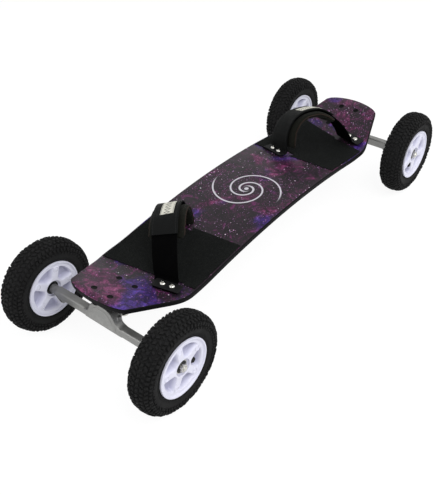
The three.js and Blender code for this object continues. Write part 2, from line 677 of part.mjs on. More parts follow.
function hanger() {
  const pinEnd = PIVOT_CUP_END - PIVOT_CUP_FLOOR - FIT_GAP;
  const relief = PIVOT_HOUSING_RADIUS + PIVOT_RELIEF;
  const casting = join(
    hangerBar(),
    hangerFace(),
    hangerWeb(),
    hangerSpine(),
    rod(RING_RADIUS, -RING_FACE, RING_FACE, SIDE_COUNTS.boss, kingpinUp, RING),
    rod(PIVOT_NECK_RADIUS, NECK_START, NECK_END, SIDE_COUNTS.pin, steerAxis, PIVOT),
  );
  const ringBore = boreRadius(KINGPIN_RADIUS, SIDE_COUNTS.pin, RING_CLEARANCE);
  const lobeHoles = [-1, 1].map((side) => rod(
    LOBE_HOLE_RADIUS, -BAR_DEPTH, BAR_DEPTH, SIDE_COUNTS.bolt, AXIS_X,
    vector(0, side * LOBE_Y, -LOBE_HOLE_DROP),
  ));
  return cut(
    join(
      cut(casting, rod(relief, NECK_END, BASEPLATE_LENGTH, SIDE_COUNTS.boss, steerAxis, PIVOT)),
      rod(PIVOT_PIN_RADIUS, NECK_START, pinEnd, SIDE_COUNTS.pin, steerAxis, PIVOT),
    ),
    rod(ringBore, -RING_HEIGHT, RING_HEIGHT, SIDE_COUNTS.pin, kingpinUp, RING),
    rod(boreRadius(AXLE_RADIUS, SIDE_COUNTS.pin), -HANGER_WIDTH, HANGER_WIDTH, SIDE_COUNTS.pin),
    ...lobeHoles,
  );
}

// Wheel frame: the axle lies along Y, +Y is the outer face and y = 0 the middle of the tyre
const BEARING_FACE = HUB_WIDTH / 2 - HUB_RECESS_DEPTH;
const HUB_FACE = HUB_WIDTH / 2 - RIM_LIP_DEPTH;
const POCKET_FLOOR = HUB_FACE - POCKET_DEPTH;
const WHEEL_Y = HANGER_WIDTH / 2 + FIT_GAP + BEARING_FACE;
const AXLE_NUT_START = WHEEL_Y + BEARING_FACE + FIT_GAP;
const AXLE_END = AXLE_NUT_START + AXLE_NUT_HEIGHT + AXLE_END_PROUD;
const POCKET_PITCH = 2 * Math.PI / POCKET_COUNT;
const pocketIndexes = Array.from({ length: POCKET_COUNT }, (_, i) => i);

// A direction across the wheel, by its angle from +X towards +Z
const spoke = (angle) => vector(Math.cos(angle), 0, Math.sin(angle));
const hubBoltPlaces = pocketIndexes.map((i) => (
  spoke((i + 1 / 2) * POCKET_PITCH).multiplyScalar(HUB_BOLT_CIRCLE)
));

function axle() {
  const slim = AXLE_RADIUS - AXLE_CHAMFER;
  return turned([
    [0, -AXLE_END], [slim, -AXLE_END], [AXLE_RADIUS, AXLE_CHAMFER - AXLE_END],
    [AXLE_RADIUS, AXLE_END - AXLE_CHAMFER], [slim, AXLE_END], [0, AXLE_END],
  ], SIDE_COUNTS.pin);
}

function axleNut(side) {
  const [near, far] = [AXLE_NUT_START, AXLE_NUT_START + AXLE_NUT_HEIGHT];
  const outward = vector(0, side, 0);
  const bore = boreRadius(AXLE_RADIUS, SIDE_COUNTS.pin);
  return cut(
    rod(AXLE_NUT_RADIUS, near, far, SIDE_COUNTS.bolt, outward),
    rod(bore, near - CUT_OVERRUN, far + CUT_OVERRUN, SIDE_COUNTS.pin, outward),
  );
}

// A wedge-shaped pocket between two ribs of even width, drawn in towards its floor
function hubPocket(index) {
  const halfAngle = (radius, wall) => POCKET_PITCH / 2 - Math.asin((RIB_WIDTH / 2 + wall) / radius);
  const plan = (y, wall) => {
    const [inner, outer] = [POCKET_INNER_RADIUS + wall, POCKET_OUTER_RADIUS - wall];
    const corner = (radius, share) => (
      spoke(index * POCKET_PITCH + share * halfAngle(radius, wall)).multiplyScalar(radius).setY(y)
    );
    return [corner(inner, 1), corner(inner, -1), corner(outer, -1), corner(outer, 1)];
  };
  return loft([plan(POCKET_FLOOR, POCKET_DRAFT), plan(HUB_FACE, 0), plan(HUB_WIDTH, 0)]);
}

// Half a hub: barrel, flange with a raised lip, bearing seat, pockets and half the valve's channel
function hubHalf() {
  const [split, face] = [FIT_GAP / 2, HUB_WIDTH / 2];
  const flange = face - RIM_FLANGE_THICKNESS;
  const bearingBore = boreRadius(BEARING_RADIUS, SIDE_COUNTS.wheel);
  const bearingSeat = BEARING_FACE - BEARING_WIDTH - FIT_GAP;
  const blank = turned([
    [HUB_BORE_RADIUS, split], [HUB_BORE_RADIUS, bearingSeat], [bearingBore, bearingSeat],
    [bearingBore, BEARING_FACE], [HUB_RECESS_RADIUS, BEARING_FACE], [HUB_RECESS_RADIUS, HUB_FACE],
    [RIM_FLANGE_RADIUS - 1.5 * RIM_LIP_WIDTH, HUB_FACE], [RIM_FLANGE_RADIUS - RIM_LIP_WIDTH, face],
    [RIM_FLANGE_RADIUS, face], [RIM_FLANGE_RADIUS, flange], [RIM_SEAT_RADIUS, flange],
    [RIM_SEAT_RADIUS, split],
  ], SIDE_COUNTS.wheel);
  const valveBore = boreRadius(VALVE_RADIUS, SIDE_COUNTS.bore, VALVE_CLEARANCE);
  const channelStart = VALVE_PLACE_RADIUS - VALVE_RADIUS - VALVE_CLEARANCE;
  const channel = rod(valveBore, channelStart, RIM_SEAT_RADIUS + CUT_OVERRUN, SIDE_COUNTS.bore, AXIS_X);
  return cut(blank, ...pocketIndexes.map(hubPocket), channel);
}

const hubBlank = hubHalf();

function outerHub() {
  const sleeve = boreRadius(HUB_SLEEVE_RADIUS, SIDE_COUNTS.bolt);
  const valve = boreRadius(VALVE_RADIUS, SIDE_COUNTS.bolt, VALVE_CLEARANCE);
  return cut(
    hubBlank,
    ...hubBoltPlaces.map((place) => rod(sleeve, -CUT_OVERRUN, HUB_WIDTH, SIDE_COUNTS.bolt, AXIS_Y, place)),
    rod(valve, -CUT_OVERRUN, HUB_FACE, SIDE_COUNTS.bolt, AXIS_Y, vector(VALVE_PLACE_RADIUS, 0, 0)),
  );
}

// The inner half carries the sleeves of the five clamping bolts, which pass through the outer half
function innerHub() {
  const half = hubBlank.transform(new THREE.Matrix4().makeRotationX(Math.PI).elements);
  const dimples = hubBoltPlaces.map((place) => rod(
    HUB_DIMPLE_RADIUS, -HUB_WIDTH, HUB_DIMPLE_DEPTH - HUB_FACE, SIDE_COUNTS.bolt, AXIS_Y, place,
  ));
  return join(
    cut(half, ...dimples),
    ...hubBoltPlaces.map((place) => (
      rod(HUB_SLEEVE_RADIUS, -POCKET_FLOOR, HUB_FACE - HUB_SLEEVE_SINK, SIDE_COUNTS.bolt, AXIS_Y, place)
    )),
  );
}

function bearing(side) {
  const [inner, near] = [boreRadius(AXLE_RADIUS, SIDE_COUNTS.collar), BEARING_FACE - BEARING_WIDTH];
  return turned([
    [inner, near], [BEARING_RADIUS, near], [BEARING_RADIUS, BEARING_FACE], [inner, BEARING_FACE],
  ], SIDE_COUNTS.collar, vector(0, side, 0));
}

// Tyre section, as [radius, half-width]: the beads clear the rim seat and the flanges
const BEAD_RADIUS = boreRadius(RIM_SEAT_RADIUS, SIDE_COUNTS.carcass);
const BEAD_HALF_WIDTH = HUB_WIDTH / 2 - RIM_FLANGE_THICKNESS - FIT_GAP;
const WIDEST_RADIUS = (TYRE_RADIUS + RIM_SEAT_RADIUS) / 2;
const SHOULDER_RADIUS = TYRE_RADIUS - SHOULDER_DROP;
const TYRE_LINING = [
  [BEAD_RADIUS, BEAD_HALF_WIDTH],
  [BEAD_RADIUS, BEAD_HALF_WIDTH - BEAD_WIDTH],
  [WIDEST_RADIUS, TYRE_WIDTH / 2 - TYRE_WALL],
  [SHOULDER_RADIUS - TYRE_WALL / 2, TREAD_HALF_WIDTH - 2 * TYRE_WALL],
  [TYRE_RADIUS - TREAD_DEPTH - TYRE_WALL, 0],
];
const mirrored = (section) => section.map(([radius, y, ...rest]) => [radius, -y, ...rest]).reverse();

// Tread height across the tyre, level in the middle and falling to the shoulders
function crownRadius(share) {
  const fall = Math.max(0, share - CROWN_LEVEL_SHARE) / (1 - CROWN_LEVEL_SHARE);
  return THREE.MathUtils.lerp(TYRE_RADIUS, SHOULDER_RADIUS, fall * fall);
}

// Each knob row dips between its knobs, half a pitch away from its neighbour
function treadRows() {
  const notched = (parity) => (j) => (j % 2 === parity ? TREAD_DEPTH : 0);
  const row = (share, cutAt) => [crownRadius(share), share * TREAD_HALF_WIDTH, notched(cutAt)];
  const groove = (share) => [crownRadius(share) - TREAD_DEPTH, share * TREAD_HALF_WIDTH, () => 0];
  const [centre, grooveAt, shoulder] = TREAD_ROW_SHARES;
  return [
    row(centre, 1), groove(grooveAt), row(shoulder, 0), row(1, 0),
  ];
}

function circle(radius, y, count, cutDepth = () => 0) {
  return Array.from({ length: count }, (_, j) => (
    spoke(2 * Math.PI * j / count).multiplyScalar(radius - cutDepth(j)).setY(y)
  ));
}

function tyre() {
  const tread = treadRows();
  const side = [
    [WIDEST_RADIUS, TYRE_WIDTH / 2],
    [boreRadius(RIM_FLANGE_RADIUS, SIDE_COUNTS.sidewall), BEAD_HALF_WIDTH],
  ];
  const circles = (section, count) => section.map(([radius, y, depth]) => circle(radius, y, count, depth));
  return ringSkin([
    ...circles([...mirrored(tread), ...tread], SIDE_COUNTS.tread),
    ...circles(side, SIDE_COUNTS.sidewall),
    ...circles([...TYRE_LINING, ...mirrored(TYRE_LINING.slice(0, -1))], SIDE_COUNTS.carcass),
    ...circles(mirrored(side), SIDE_COUNTS.sidewall),
  ]);
}

// The tube fills the space inside the tyre, and its stem leaves through the hub's channel
function innerTube(roll) {
  const half = TYRE_LINING.slice(1, -1);
  const space = [...half, ...mirrored(half)];
  const skin = (depth) => turned(inset(space, depth), SIDE_COUNTS.carcass);
  const outward = spoke(roll);
  const place = along(ORIGIN, outward, VALVE_PLACE_RADIUS);
  const [stemEnd, capEnd] = [BEAD_RADIUS + 2 * TUBE_WALL, HUB_FACE - VALVE_END_SINK];
  return cut(
    join(
      skin(FIT_GAP),
      rod(VALVE_RADIUS, VALVE_PLACE_RADIUS - VALVE_RADIUS, stemEnd, SIDE_COUNTS.bolt, outward),
      rod(VALVE_RADIUS, 0, capEnd, SIDE_COUNTS.bolt, AXIS_Y, place),
      rod(VALVE_CAP_RADIUS, POCKET_FLOOR + VALVE_CLEARANCE, capEnd, SIDE_COUNTS.bolt, AXIS_Y, place),
    ),
    skin(FIT_GAP + TUBE_WALL),
    rod(VALVE_BORE_RADIUS, VALVE_PLACE_RADIUS, 2 * stemEnd - BEAD_RADIUS, SIDE_COUNTS.bore, outward),
    rod(VALVE_BORE_RADIUS, 0, capEnd + CUT_OVERRUN, SIDE_COUNTS.bore, AXIS_Y, place),
  );
}

// How far from the binding's middle the bracket, the arch's foot and the ends of the seat lie
const BRACKET_REACH = (DECK_WIDTH / 2 - BRACKET_EDGE_DISTANCE) / Math.sin(radians(STRAP_ANGLE));
const ARCH_HALF_SPAN = BRACKET_REACH - ARCH_TO_BRACKET;
const SEAT_NEAR = ARCH_HALF_SPAN - ARCH_FOOT_TUCK - 2 * STRAP_THICKNESS;
const SEAT_FAR = BRACKET_REACH + BRACKET_LENGTH / 2;

// Evenly spaced places from one side of a middle to the other
const spanOf = (middle, reach) => Array.from({ length: SEAT_SAMPLE_COUNT + 1 }, (_, i) => (
  middle + (2 * i / SEAT_SAMPLE_COUNT - 1) * reach
));

// A plane seated on the deck round a place: its slope along X, and a height that clears the deck
function seatPlane(x, reach) {
  const slope = (deckTop(x + reach) - deckTop(x - reach)) / (2 * reach);
  const height = Math.max(...spanOf(0, reach).map((step) => deckTop(x + step) - slope * step));
  return { slope, at: (place) => height + slope * (place - x) };
}

// Outer line of a strap's arch as [s, height], read by its share of the line's length
function archLine(rise) {
  const line = Array.from({ length: ARCH_SAMPLE_COUNT + 1 }, (_, i) => {
    const angle = Math.PI * i / ARCH_SAMPLE_COUNT;
    const side = i < ARCH_SAMPLE_COUNT / 2 ? -1 : 1;
    const power = 2 / (side < 0 ? INBOARD_SQUARENESS_SHARE : OUTBOARD_SQUARENESS_SHARE);
    const height = rise * Math.max(0, Math.sin(angle)) ** power;
    const tuck = ARCH_FOOT_TUCK * Math.max(0, 1 - height / ARCH_TUCK_HEIGHT) ** 2;
    const span = (ARCH_HALF_SPAN + side * ARCH_SHIFT) * Math.abs(Math.cos(angle)) ** power - tuck;
    return new THREE.Vector2(side * span - ARCH_SHIFT, height);
  });
  const lengths = [0];
  line.slice(1).forEach((point, i) => lengths.push(lengths[i] + point.distanceTo(line[i])));
  return (share) => {
    const target = share * lengths[ARCH_SAMPLE_COUNT];
    const i = THREE.MathUtils.clamp(lengths.findIndex((length) => length > target), 1, ARCH_SAMPLE_COUNT);
    return line[i - 1].clone().lerp(line[i], (target - lengths[i - 1]) / (lengths[i] - lengths[i - 1]));
  };
}

// Everything that lies on one binding's line: s runs outboard along it, and across from toe to heel
class Binding {
  constructor({ inset, y, facing, rise }) {
    const angle = radians(STRAP_ANGLE);
    this.facing = facing;
    this.centre = vector(facing * (DECK_LENGTH / 2 - inset), y, 0);
    this.outboard = vector(facing * Math.cos(angle), Math.sin(angle), 0);
    this.rise = rise;
    this.line = archLine(rise);
    const width = BRACKET_WIDTH * Math.sin(radians(BRACKET_ANGLE));
    const reach = ((SEAT_FAR - SEAT_NEAR) * Math.cos(angle) + width) / 2;
    this.seats = [-1, 1].map((side) => seatPlane(this.plan(side * (SEAT_FAR + SEAT_NEAR) / 2, 0).x, reach));
  }

  // From the toes to the heel, for webbing at a share of the arch's rise
  heel(lift) {
    const angle = radians(THREE.MathUtils.lerp(BRACKET_ANGLE, CREST_ANGLE, lift));
    return vector(-this.facing * Math.sin(angle), Math.cos(angle), 0);
  }

  plan(s, across, lift = 0) {
    return along(along(this.centre, this.outboard, s), this.heel(lift), across - CREST_LEAN * lift);
  }

  seat(side) {
    return this.seats[side < 0 ? 0 : 1];
  }

  // A point above the plane that one bracket is seated on
  seatPoint(side, s, across, height) {
    const point = this.plan(s, across);
    return point.setZ(this.seat(side).at(point.x) + height);
  }

  // A point under the arch's outer line, at a step along it and a depth below it
  archPoint(step, depth, across) {
    const [before, here, after] = [-1 / 2, 0, 1 / 2].map((shift) => (
      this.line((step + shift) / ARCH_STEP_COUNT)
    ));
    const tangent = after.sub(before).normalize();
    const [s, height] = [here.x + depth * tangent.y, here.y - depth * tangent.x];
    const [low, high] = [-1, 1].map((side) => (
      this.seat(side).at(this.plan(side * ARCH_HALF_SPAN, across).x)
    ));
    const base = THREE.MathUtils.lerp(low, high, (s + ARCH_HALF_SPAN) / (2 * ARCH_HALF_SPAN));
    const instep = INSTEP_SLOPE_SHARE * across * height / this.rise;
    return this.plan(s, across, here.y / this.rise).setZ(base + height + instep);
  }

  bracketMatrix(side) {
    const up = vector(-this.seat(side).slope, 0, 1).normalize();
    const out = this.heel(0).cross(up).normalize();
    const origin = this.seatPoint(side, side * BRACKET_REACH, 0, 0);
    return new THREE.Matrix4().makeBasis(out, up.clone().cross(out), up).setPosition(origin);
  }

  // How far below its seat plane a screw's nut has to lie to clear the deck's underside
  nutDepth(side, across) {
    const seat = this.seat(side);
    const { x } = this.plan(side * BRACKET_REACH, across);
    const gaps = spanOf(x, TNUT_RADIUS).map((place) => seat.at(place) - deckTop(place) + DECK_THICKNESS);
    return Math.max(...gaps) / Math.hypot(1, seat.slope) + FIT_GAP;
  }
}

const bindings = Object.fromEntries(
  Object.entries(BINDINGS).map(([end, place]) => [end, new Binding(place)]),
);
const BRACKET_BOTTOM = TAB_CLEARANCE + STRAP_THICKNESS + FIT_GAP;
const BRACKET_TOP = BRACKET_BOTTOM + BRACKET_THICKNESS;
const screwOffsets = [-SCREW_SPACING / 2, SCREW_SPACING / 2];

// The bracket's plate with its two screws, which reach through the deck to flanged nuts
function bracket(binding, side) {
  const outline = roundedRectangle(BRACKET_LENGTH / 2, BRACKET_WIDTH / 2, BRACKET_CORNER);
  const [headTop, headSeat] = [BRACKET_TOP + SCREW_HEAD_HEIGHT, BRACKET_TOP - BRACKET_THICKNESS / 2];
  const screws = screwOffsets.map((offset) => {
    const nutTop = -binding.nutDepth(side, offset);
    return turned([
      [0, headTop], [SCREW_HEAD_RADIUS / 2, headTop - SCREW_HEAD_HEIGHT / 5],
      [SCREW_HEAD_RADIUS, BRACKET_TOP + SCREW_HEAD_HEIGHT / 4], [SCREW_HEAD_RADIUS, headSeat],
      [SCREW_RADIUS, headSeat], [SCREW_RADIUS, nutTop], [TNUT_RADIUS, nutTop],
      [TNUT_RADIUS, nutTop - TNUT_THICKNESS], [0, nutTop - TNUT_THICKNESS],
    ], SIDE_COUNTS.bolt, AXIS_Z, vector(0, offset, 0));
  });
  const upright = join(prism(outline, BRACKET_BOTTOM, BRACKET_THICKNESS), ...screws);
  return upright.transform(binding.bracketMatrix(side).elements);
}

function screwHoles(binding) {
  const radius = boreRadius(SCREW_RADIUS, SIDE_COUNTS.bolt);
  return [-1, 1].flatMap((side) => screwOffsets.map((offset) => {
    const place = vector(0, offset, 0);
    const hole = rod(radius, -2 * DECK_THICKNESS, BRACKET_TOP, SIDE_COUNTS.bolt, AXIS_Z, place);
    return hole.transform(binding.bracketMatrix(side).elements);
  }));
}

// A strap from its tab under one bracket, up the leg and over the arch to a free end
function strap(binding, side, depth) {
  const footReach = ARCH_HALF_SPAN - ARCH_FOOT_TUCK + TAB_CLEARANCE + STRAP_THICKNESS - depth;
  const tabEnd = BRACKET_REACH + BRACKET_LENGTH / 2 - FIT_GAP;
  const half = STRAP_WIDTH / 2;
  const section = (outer, inner) => [-half, half].map(outer).concat([half, -half].map(inner));
  const tabSection = (reachAbove, reachBelow) => section(
    (across) => binding.seatPoint(side, side * reachAbove, across, TAB_CLEARANCE + STRAP_THICKNESS),
    (across) => binding.seatPoint(side, side * reachBelow, across, TAB_CLEARANCE),
  );
  const steps = Array.from({ length: ARCH_STEP_COUNT - STRAP_FREE_STEP_COUNT }, (_, i) => (
    side < 0 ? i + 1 : ARCH_STEP_COUNT - 1 - i
  ));
  return loft([
    tabSection(tabEnd, tabEnd),
    tabSection(footReach + STRAP_THICKNESS, footReach + STRAP_THICKNESS),
    tabSection(footReach, footReach - STRAP_THICKNESS),
    ...steps.map((step) => section(
      (across) => binding.archPoint(step, depth, across),
      (across) => binding.archPoint(step, depth + STRAP_THICKNESS, across),
    )),
  ]);
}

// The foam pad follows both straps on their inner side, with channels across it, and ends under the flap
function pad(binding) {
  const outerDepth = 2 * (STRAP_THICKNESS + STRAP_LAYER_GAP);
  const steps = Array.from({ length: ARCH_STEP_COUNT - PAD_FREE_STEP_COUNT }, (_, i) => i + 1);
  return loft(steps.map((step) => PAD_SECTION_SHARES.map(([acrossShare, depthShare]) => {
    const channel = step % 4 === 0 && depthShare > 1 ? PAD_CHANNEL_DEPTH : 0;
    const depth = outerDepth + depthShare * PAD_THICKNESS - channel;
    return binding.archPoint(step, depth, acrossShare * PAD_WIDTH / 2);
  })));
}

// A thin sheet on the deck top, left out round the brackets
function gripPad(end) {
  const { facing } = BINDINGS[end];
  const { innerInset, outerInset, innerSlant, outerSlant } = GRIPS[end];
  const [inner, outer] = [DECK_LENGTH / 2 - innerInset, DECK_LENGTH / 2 - outerInset];
  const half = DECK_WIDTH / 2;
  const outline = [
    [inner + innerSlant, -half], [outer + outerSlant, -half],
    [outer - outerSlant, half], [inner - innerSlant, half],
  ].map(([x, y]) => [facing * x, y]);
  const sheet = loft(STATIONS.filter((x) => facing * x > 0 && Math.abs(x) <= NOSE_START_X).map((x) => {
    const [edge, bottom] = [deckHalfWidth(x) - GRIP_SIDE_MARGIN, deckCurve(x) + FIT_GAP];
    const top = bottom + GRIP_THICKNESS;
    return [vector(x, -edge, bottom), vector(x, edge, bottom), vector(x, edge, top), vector(x, -edge, top)];
  }));
  const binding = bindings[end];
  const [near, far] = [SEAT_NEAR - GRIP_BRACKET_MARGIN, SEAT_FAR + GRIP_BRACKET_MARGIN];
  const across = BRACKET_WIDTH / 2 + GRIP_BRACKET_MARGIN;
  const footprints = [-1, 1].map((side) => {
    const corners = [[near, -across], [far, -across], [far, across], [near, across]];
    const plan = corners.map(([s, w]) => binding.plan(side * s, w)).map((p) => [p.x, p.y]);
    return prism(outlineShape(plan), 0, 2 * DECK_CENTRE_HEIGHT);
  });
  return cut(sheet.intersect(prism(outlineShape(outline), 0, 2 * DECK_CENTRE_HEIGHT)), ...footprints);
}

const truckTurn = (facing) => (facing > 0 ? 0 : Math.PI);

function deck() {
  const boltHoles = Object.values(BINDINGS).flatMap(({ facing }) => {
    const place = new THREE.Matrix4().makeRotationZ(truckTurn(facing));
    place.setPosition(facing * AXLE_X, 0, AXLE_HEIGHT);
    return truckBoltPlaces.map((bolt) => truckBoltHole(bolt).transform(place.elements));
  });
  return cut(deckBlank(), ...boltHoles, ...Object.values(bindings).flatMap(screwHoles));
}

function addBinding(end) {
  const binding = bindings[end];
  const holes = screwHoles(binding);
  const lowerDepth = STRAP_THICKNESS + STRAP_LAYER_GAP;
  addPiece(`grip_pad_${end}`, gripPad(end), MATERIALS.grip);
  addPiece(`binding_bracket_${end}_inboard`, bracket(binding, -1), MATERIALS.blackMetal);
  addPiece(`binding_bracket_${end}_outboard`, bracket(binding, 1), MATERIALS.blackMetal);
  addPiece(`binding_strap_${end}_upper`, cut(strap(binding, -1, 0), ...holes), MATERIALS.webbing);
  addPiece(`binding_strap_${end}_lower`, cut(strap(binding, 1, lowerDepth), ...holes), MATERIALS.webbing);
  addPiece(`binding_pad_${end}`, pad(binding), MATERIALS.foam);
}

function addWheel(end, side, truck, localSide) {
  const name = `${end}_${side}`;
  const facing = BINDINGS[end].facing;
  const worldSide = side === 'left' ? 1 : -1;
  const valve = radians(WHEEL_ROLL_ANGLES[name]);
  const roll = worldSide > 0 ? valve : Math.PI - valve;
  const wheel = addFrame(truck, 0, localSide * WHEEL_Y, 0, truckTurn(facing) + truckTurn(worldSide));
  const rolled = new THREE.Group();
  rolled.rotation.y = -roll;
  wheel.add(rolled);
  addPiece(`tyre_${name}`, tyre(), MATERIALS.rubber, wheel);
  addPiece(`inner_tube_${name}`, innerTube(roll), MATERIALS.tubeRubber, wheel);
  addPiece(`hub_outer_${name}`, outerHub(), MATERIALS.nylon, rolled);
  addPiece(`hub_inner_${name}`, innerHub(), MATERIALS.nylon, rolled);
  addPiece(`bearing_outer_${name}`, bearing(1), MATERIALS.steel, wheel);
  addPiece(`bearing_inner_${name}`, bearing(-1), MATERIALS.steel, wheel);
}

function addTruck(end) {
  const { facing } = BINDINGS[end];
  const truck = addFrame(board, facing * AXLE_X, 0, AXLE_HEIGHT, truckTurn(facing));
  addPiece(`baseplate_${end}`, baseplate(), MATERIALS.blackMetal, truck);
  addPiece(`pivot_cup_${end}`, pivotCup(), MATERIALS.urethane, truck);
  addPiece(`kingpin_${end}`, kingpin(), MATERIALS.steel, truck);
  const collars = {
    bushing_boardside: [[RING_FACE + FIT_GAP, BOARDSIDE_TOP, BUSHING_WAIST], MATERIALS.urethane],
    bushing_roadside: [[-ROADSIDE_END, -RING_FACE - FIT_GAP, BUSHING_WAIST], MATERIALS.urethane],
    washer_boardside: [[BOARDSIDE_TOP + FIT_GAP, SEAT_FACE - FIT_GAP], MATERIALS.steel],
    washer_roadside: [[FIT_GAP - NUT_FACE, -ROADSIDE_END - FIT_GAP], MATERIALS.steel],
  };
  for (const [name, [sizes, material]] of Object.entries(collars)) {
    addPiece(`${name}_${end}`, kingpinCollar(...sizes), material, truck);
  }
  addPiece(`hanger_${end}`, hanger(), MATERIALS.casting, truck);
  addPiece(`axle_${end}`, axle(), MATERIALS.steel, truck);
  for (const localSide of [-1, 1]) {
    const side = localSide * facing > 0 ? 'left' : 'right';
    addPiece(`axle_nut_${end}_${side}`, axleNut(localSide), MATERIALS.steel, truck);
    addWheel(end, side, truck, localSide);
  }
}

addPiece('deck', deck(), MATERIALS.deck);
for (const end of Object.keys(BINDINGS)) {
  addBinding(end);
  addTruck(end);
}

export default board;
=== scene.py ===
"""Looks of a four-wheeled mountainboard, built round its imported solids.

Sizes are in millimetres and become metres when a mesh is made. +X points to the nose of the
board, +Y to its left side and +Z up, and the ground is z = 0.
"""

from __future__ import annotations

import logging
import math
from dataclasses import dataclass, field
from enum import Enum
from functools import cache, reduce
from typing import Any, Callable, Mapping, NamedTuple, Sequence

import bmesh
import bpy
import numpy as np
from mathutils import Matrix, Vector


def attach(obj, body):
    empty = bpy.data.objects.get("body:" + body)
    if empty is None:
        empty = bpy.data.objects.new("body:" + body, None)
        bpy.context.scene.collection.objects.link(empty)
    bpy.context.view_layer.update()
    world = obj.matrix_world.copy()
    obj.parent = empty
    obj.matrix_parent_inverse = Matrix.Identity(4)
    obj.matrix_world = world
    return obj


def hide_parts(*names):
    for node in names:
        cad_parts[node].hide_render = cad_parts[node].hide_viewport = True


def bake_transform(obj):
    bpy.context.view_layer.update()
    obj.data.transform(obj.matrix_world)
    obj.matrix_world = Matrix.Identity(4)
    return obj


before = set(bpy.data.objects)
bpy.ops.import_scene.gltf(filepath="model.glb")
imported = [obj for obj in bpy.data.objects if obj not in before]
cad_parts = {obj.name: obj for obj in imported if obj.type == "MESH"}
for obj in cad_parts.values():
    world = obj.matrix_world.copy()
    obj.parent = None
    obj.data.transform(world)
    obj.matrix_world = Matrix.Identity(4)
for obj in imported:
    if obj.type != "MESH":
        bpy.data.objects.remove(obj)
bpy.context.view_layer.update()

LOG = logging.getLogger("mountainboard")
MM = 0.001
PHOTO_WIDTH = 435
Array = np.ndarray
Color = tuple[float, float, float]
Piece = bpy.types.Object
Socket = bpy.types.NodeSocket
Tree = bpy.types.NodeTree
Profile = Sequence[tuple]
UP_Y = np.array([0.0, 1.0, 0.0])
MIDDLE = np.zeros(3)


class Labelled(Enum):
    """An option whose name is a word in the names of nodes."""

    @property
    def label(self) -> str:
        """The word."""
        return self.name.lower()


class End(Labelled):
    """One end of the board, with the way it faces along X."""

    FRONT = 1
    REAR = -1


class Side(Labelled):
    """One side of the board, with its sign along Y."""

    LEFT = 1
    RIGHT = -1


# ---------------------------------------------------------------- node trees


class Graph:
    """Adds the nodes of one material or node group and joins their sockets."""

    def __init__(self, tree: Tree) -> None:
        """Starts on the tree that gets the nodes."""
        self.tree = tree

    def node(self, kind: str, inputs: Mapping[Any, Any] | None = None, **settings: Any) -> bpy.types.Node:
        """Adds a node.

        Args:
            kind: The node's type without its ShaderNode prefix.
            inputs: Values or sockets by input name or number.
            settings: Properties of the node.

        Returns:
            The new node.
        """
        new = self.tree.nodes.new("ShaderNode" + kind)
        for name, value in settings.items():
            setattr(new, name, value)
        for name, value in (inputs or {}).items():
            self.feed(new.inputs[name], value)
        return new

    def feed(self, socket: Socket, value: Any) -> None:
        """Links a socket to an input, or sets a plain value on it.

        Args:
            socket: The input.
            value: The socket, number or colour that it gets.
        """
        if isinstance(value, Socket):
            self.tree.links.new(value, socket)
        elif isinstance(value, tuple) and len(value) == 3 and socket.type == "RGBA":
            socket.default_value = (*value, 1.0)
        else:
            socket.default_value = value

    def math(self, operation: str, *values: Any) -> Socket:
        """The result of one math operation on values or sockets."""
        return self.node("Math", dict(enumerate(values)), operation=operation).outputs[0]

    def times(self, *values: Any) -> Socket:
        """The product of values or sockets."""
        return reduce(lambda first, second: self.math("MULTIPLY", first, second), values)

    def split(self, vector: Socket) -> Sequence[Socket]:
        """The three numbers of a vector."""
        return self.node("SeparateXYZ", {0: vector}).outputs

    def noise(
        self, vector: Any, scale: Any, detail: float = 3.0, rough: float = 0.5, warp: float = 0.0,
    ) -> Socket:
        """A noise value from 0 to 1 at a scale in waves per metre."""
        inputs = {"Vector": vector, "Scale": scale, "Detail": detail, "Roughness": rough, "Distortion": warp}
        return self.node("TexNoise", inputs).outputs[0]

    def cells(self, vector: Any, scale: Any) -> tuple[Socket, Socket]:
        """The distance and the colour of a cell texture."""
        made = self.node("TexVoronoi", {"Vector": vector, "Scale": scale}).outputs
        return made["Distance"], made["Color"]

    def between(self, value: Any, low: float, high: float, start: float = 0.0, end: float = 1.0) -> Socket:
        """A smooth change from one number to another as a value goes from low to high."""
        inputs = {"Value": value, "From Min": low, "From Max": high, "To Min": start, "To Max": end}
        return self.node("MapRange", inputs, interpolation_type="SMOOTHSTEP").outputs[0]

    def ramp(self, value: Any, stops: Sequence[tuple[float, Color]]) -> Socket:
        """A colour read from stops.

        Args:
            value: What is read, from 0 to 1.
            stops: The place and colour of each stop.

        Returns:
            The colour.
        """
        made = self.node("ValToRGB", {0: value})
        elements = made.color_ramp.elements
        while len(elements) < len(stops):
            elements.new(1.0)
        for element, (place, color) in zip(elements, stops):
            element.position = place
            element.color = (*color, 1.0)
        return made.outputs[0]

    def mix(self, share: Any, first: Any, second: Any) -> Socket:
        """Two colours mixed by a share of the second."""
        return self.node("Mix", {0: share, 6: first, 7: second}, data_type="RGBA").outputs[2]

    def blend(self, share: Any, first: Any, second: Any) -> Socket:
        """Two numbers mixed by a share of the second."""
        return self.node("Mix", {0: share, 2: first, 3: second}, data_type="FLOAT").outputs[0]

    def bump(self, height: Any, distance: float, strength: float = 1.0) -> Socket:
        """A normal from a height, with the height of 1 given in metres."""
        inputs = {"Height": height, "Distance": distance, "Strength": strength}
        return self.node("Bump", inputs).outputs[0]

    def place(self, name: str = "Object") -> Socket:
        """The place on the object, or its surface coordinates."""
        return self.node("TexCoord").outputs[name]

    def group(self, tree: Tree, **inputs: Any) -> Mapping[str, Socket]:
        """The outputs of a shared group that is placed with its own values."""
        return self.node("Group", inputs, node_tree=tree).outputs

    def looked(self) -> Socket:
        """Tells the rays that look at a surface: from the camera, in reflections and through glass.

        Returns:
            1 for such a ray.
        """
        path = self.node("LightPath").outputs
        seen = self.math("MAXIMUM", path["Is Camera Ray"], path["Is Glossy Ray"])
        return self.math("MAXIMUM", seen, path["Is Transmission Ray"])


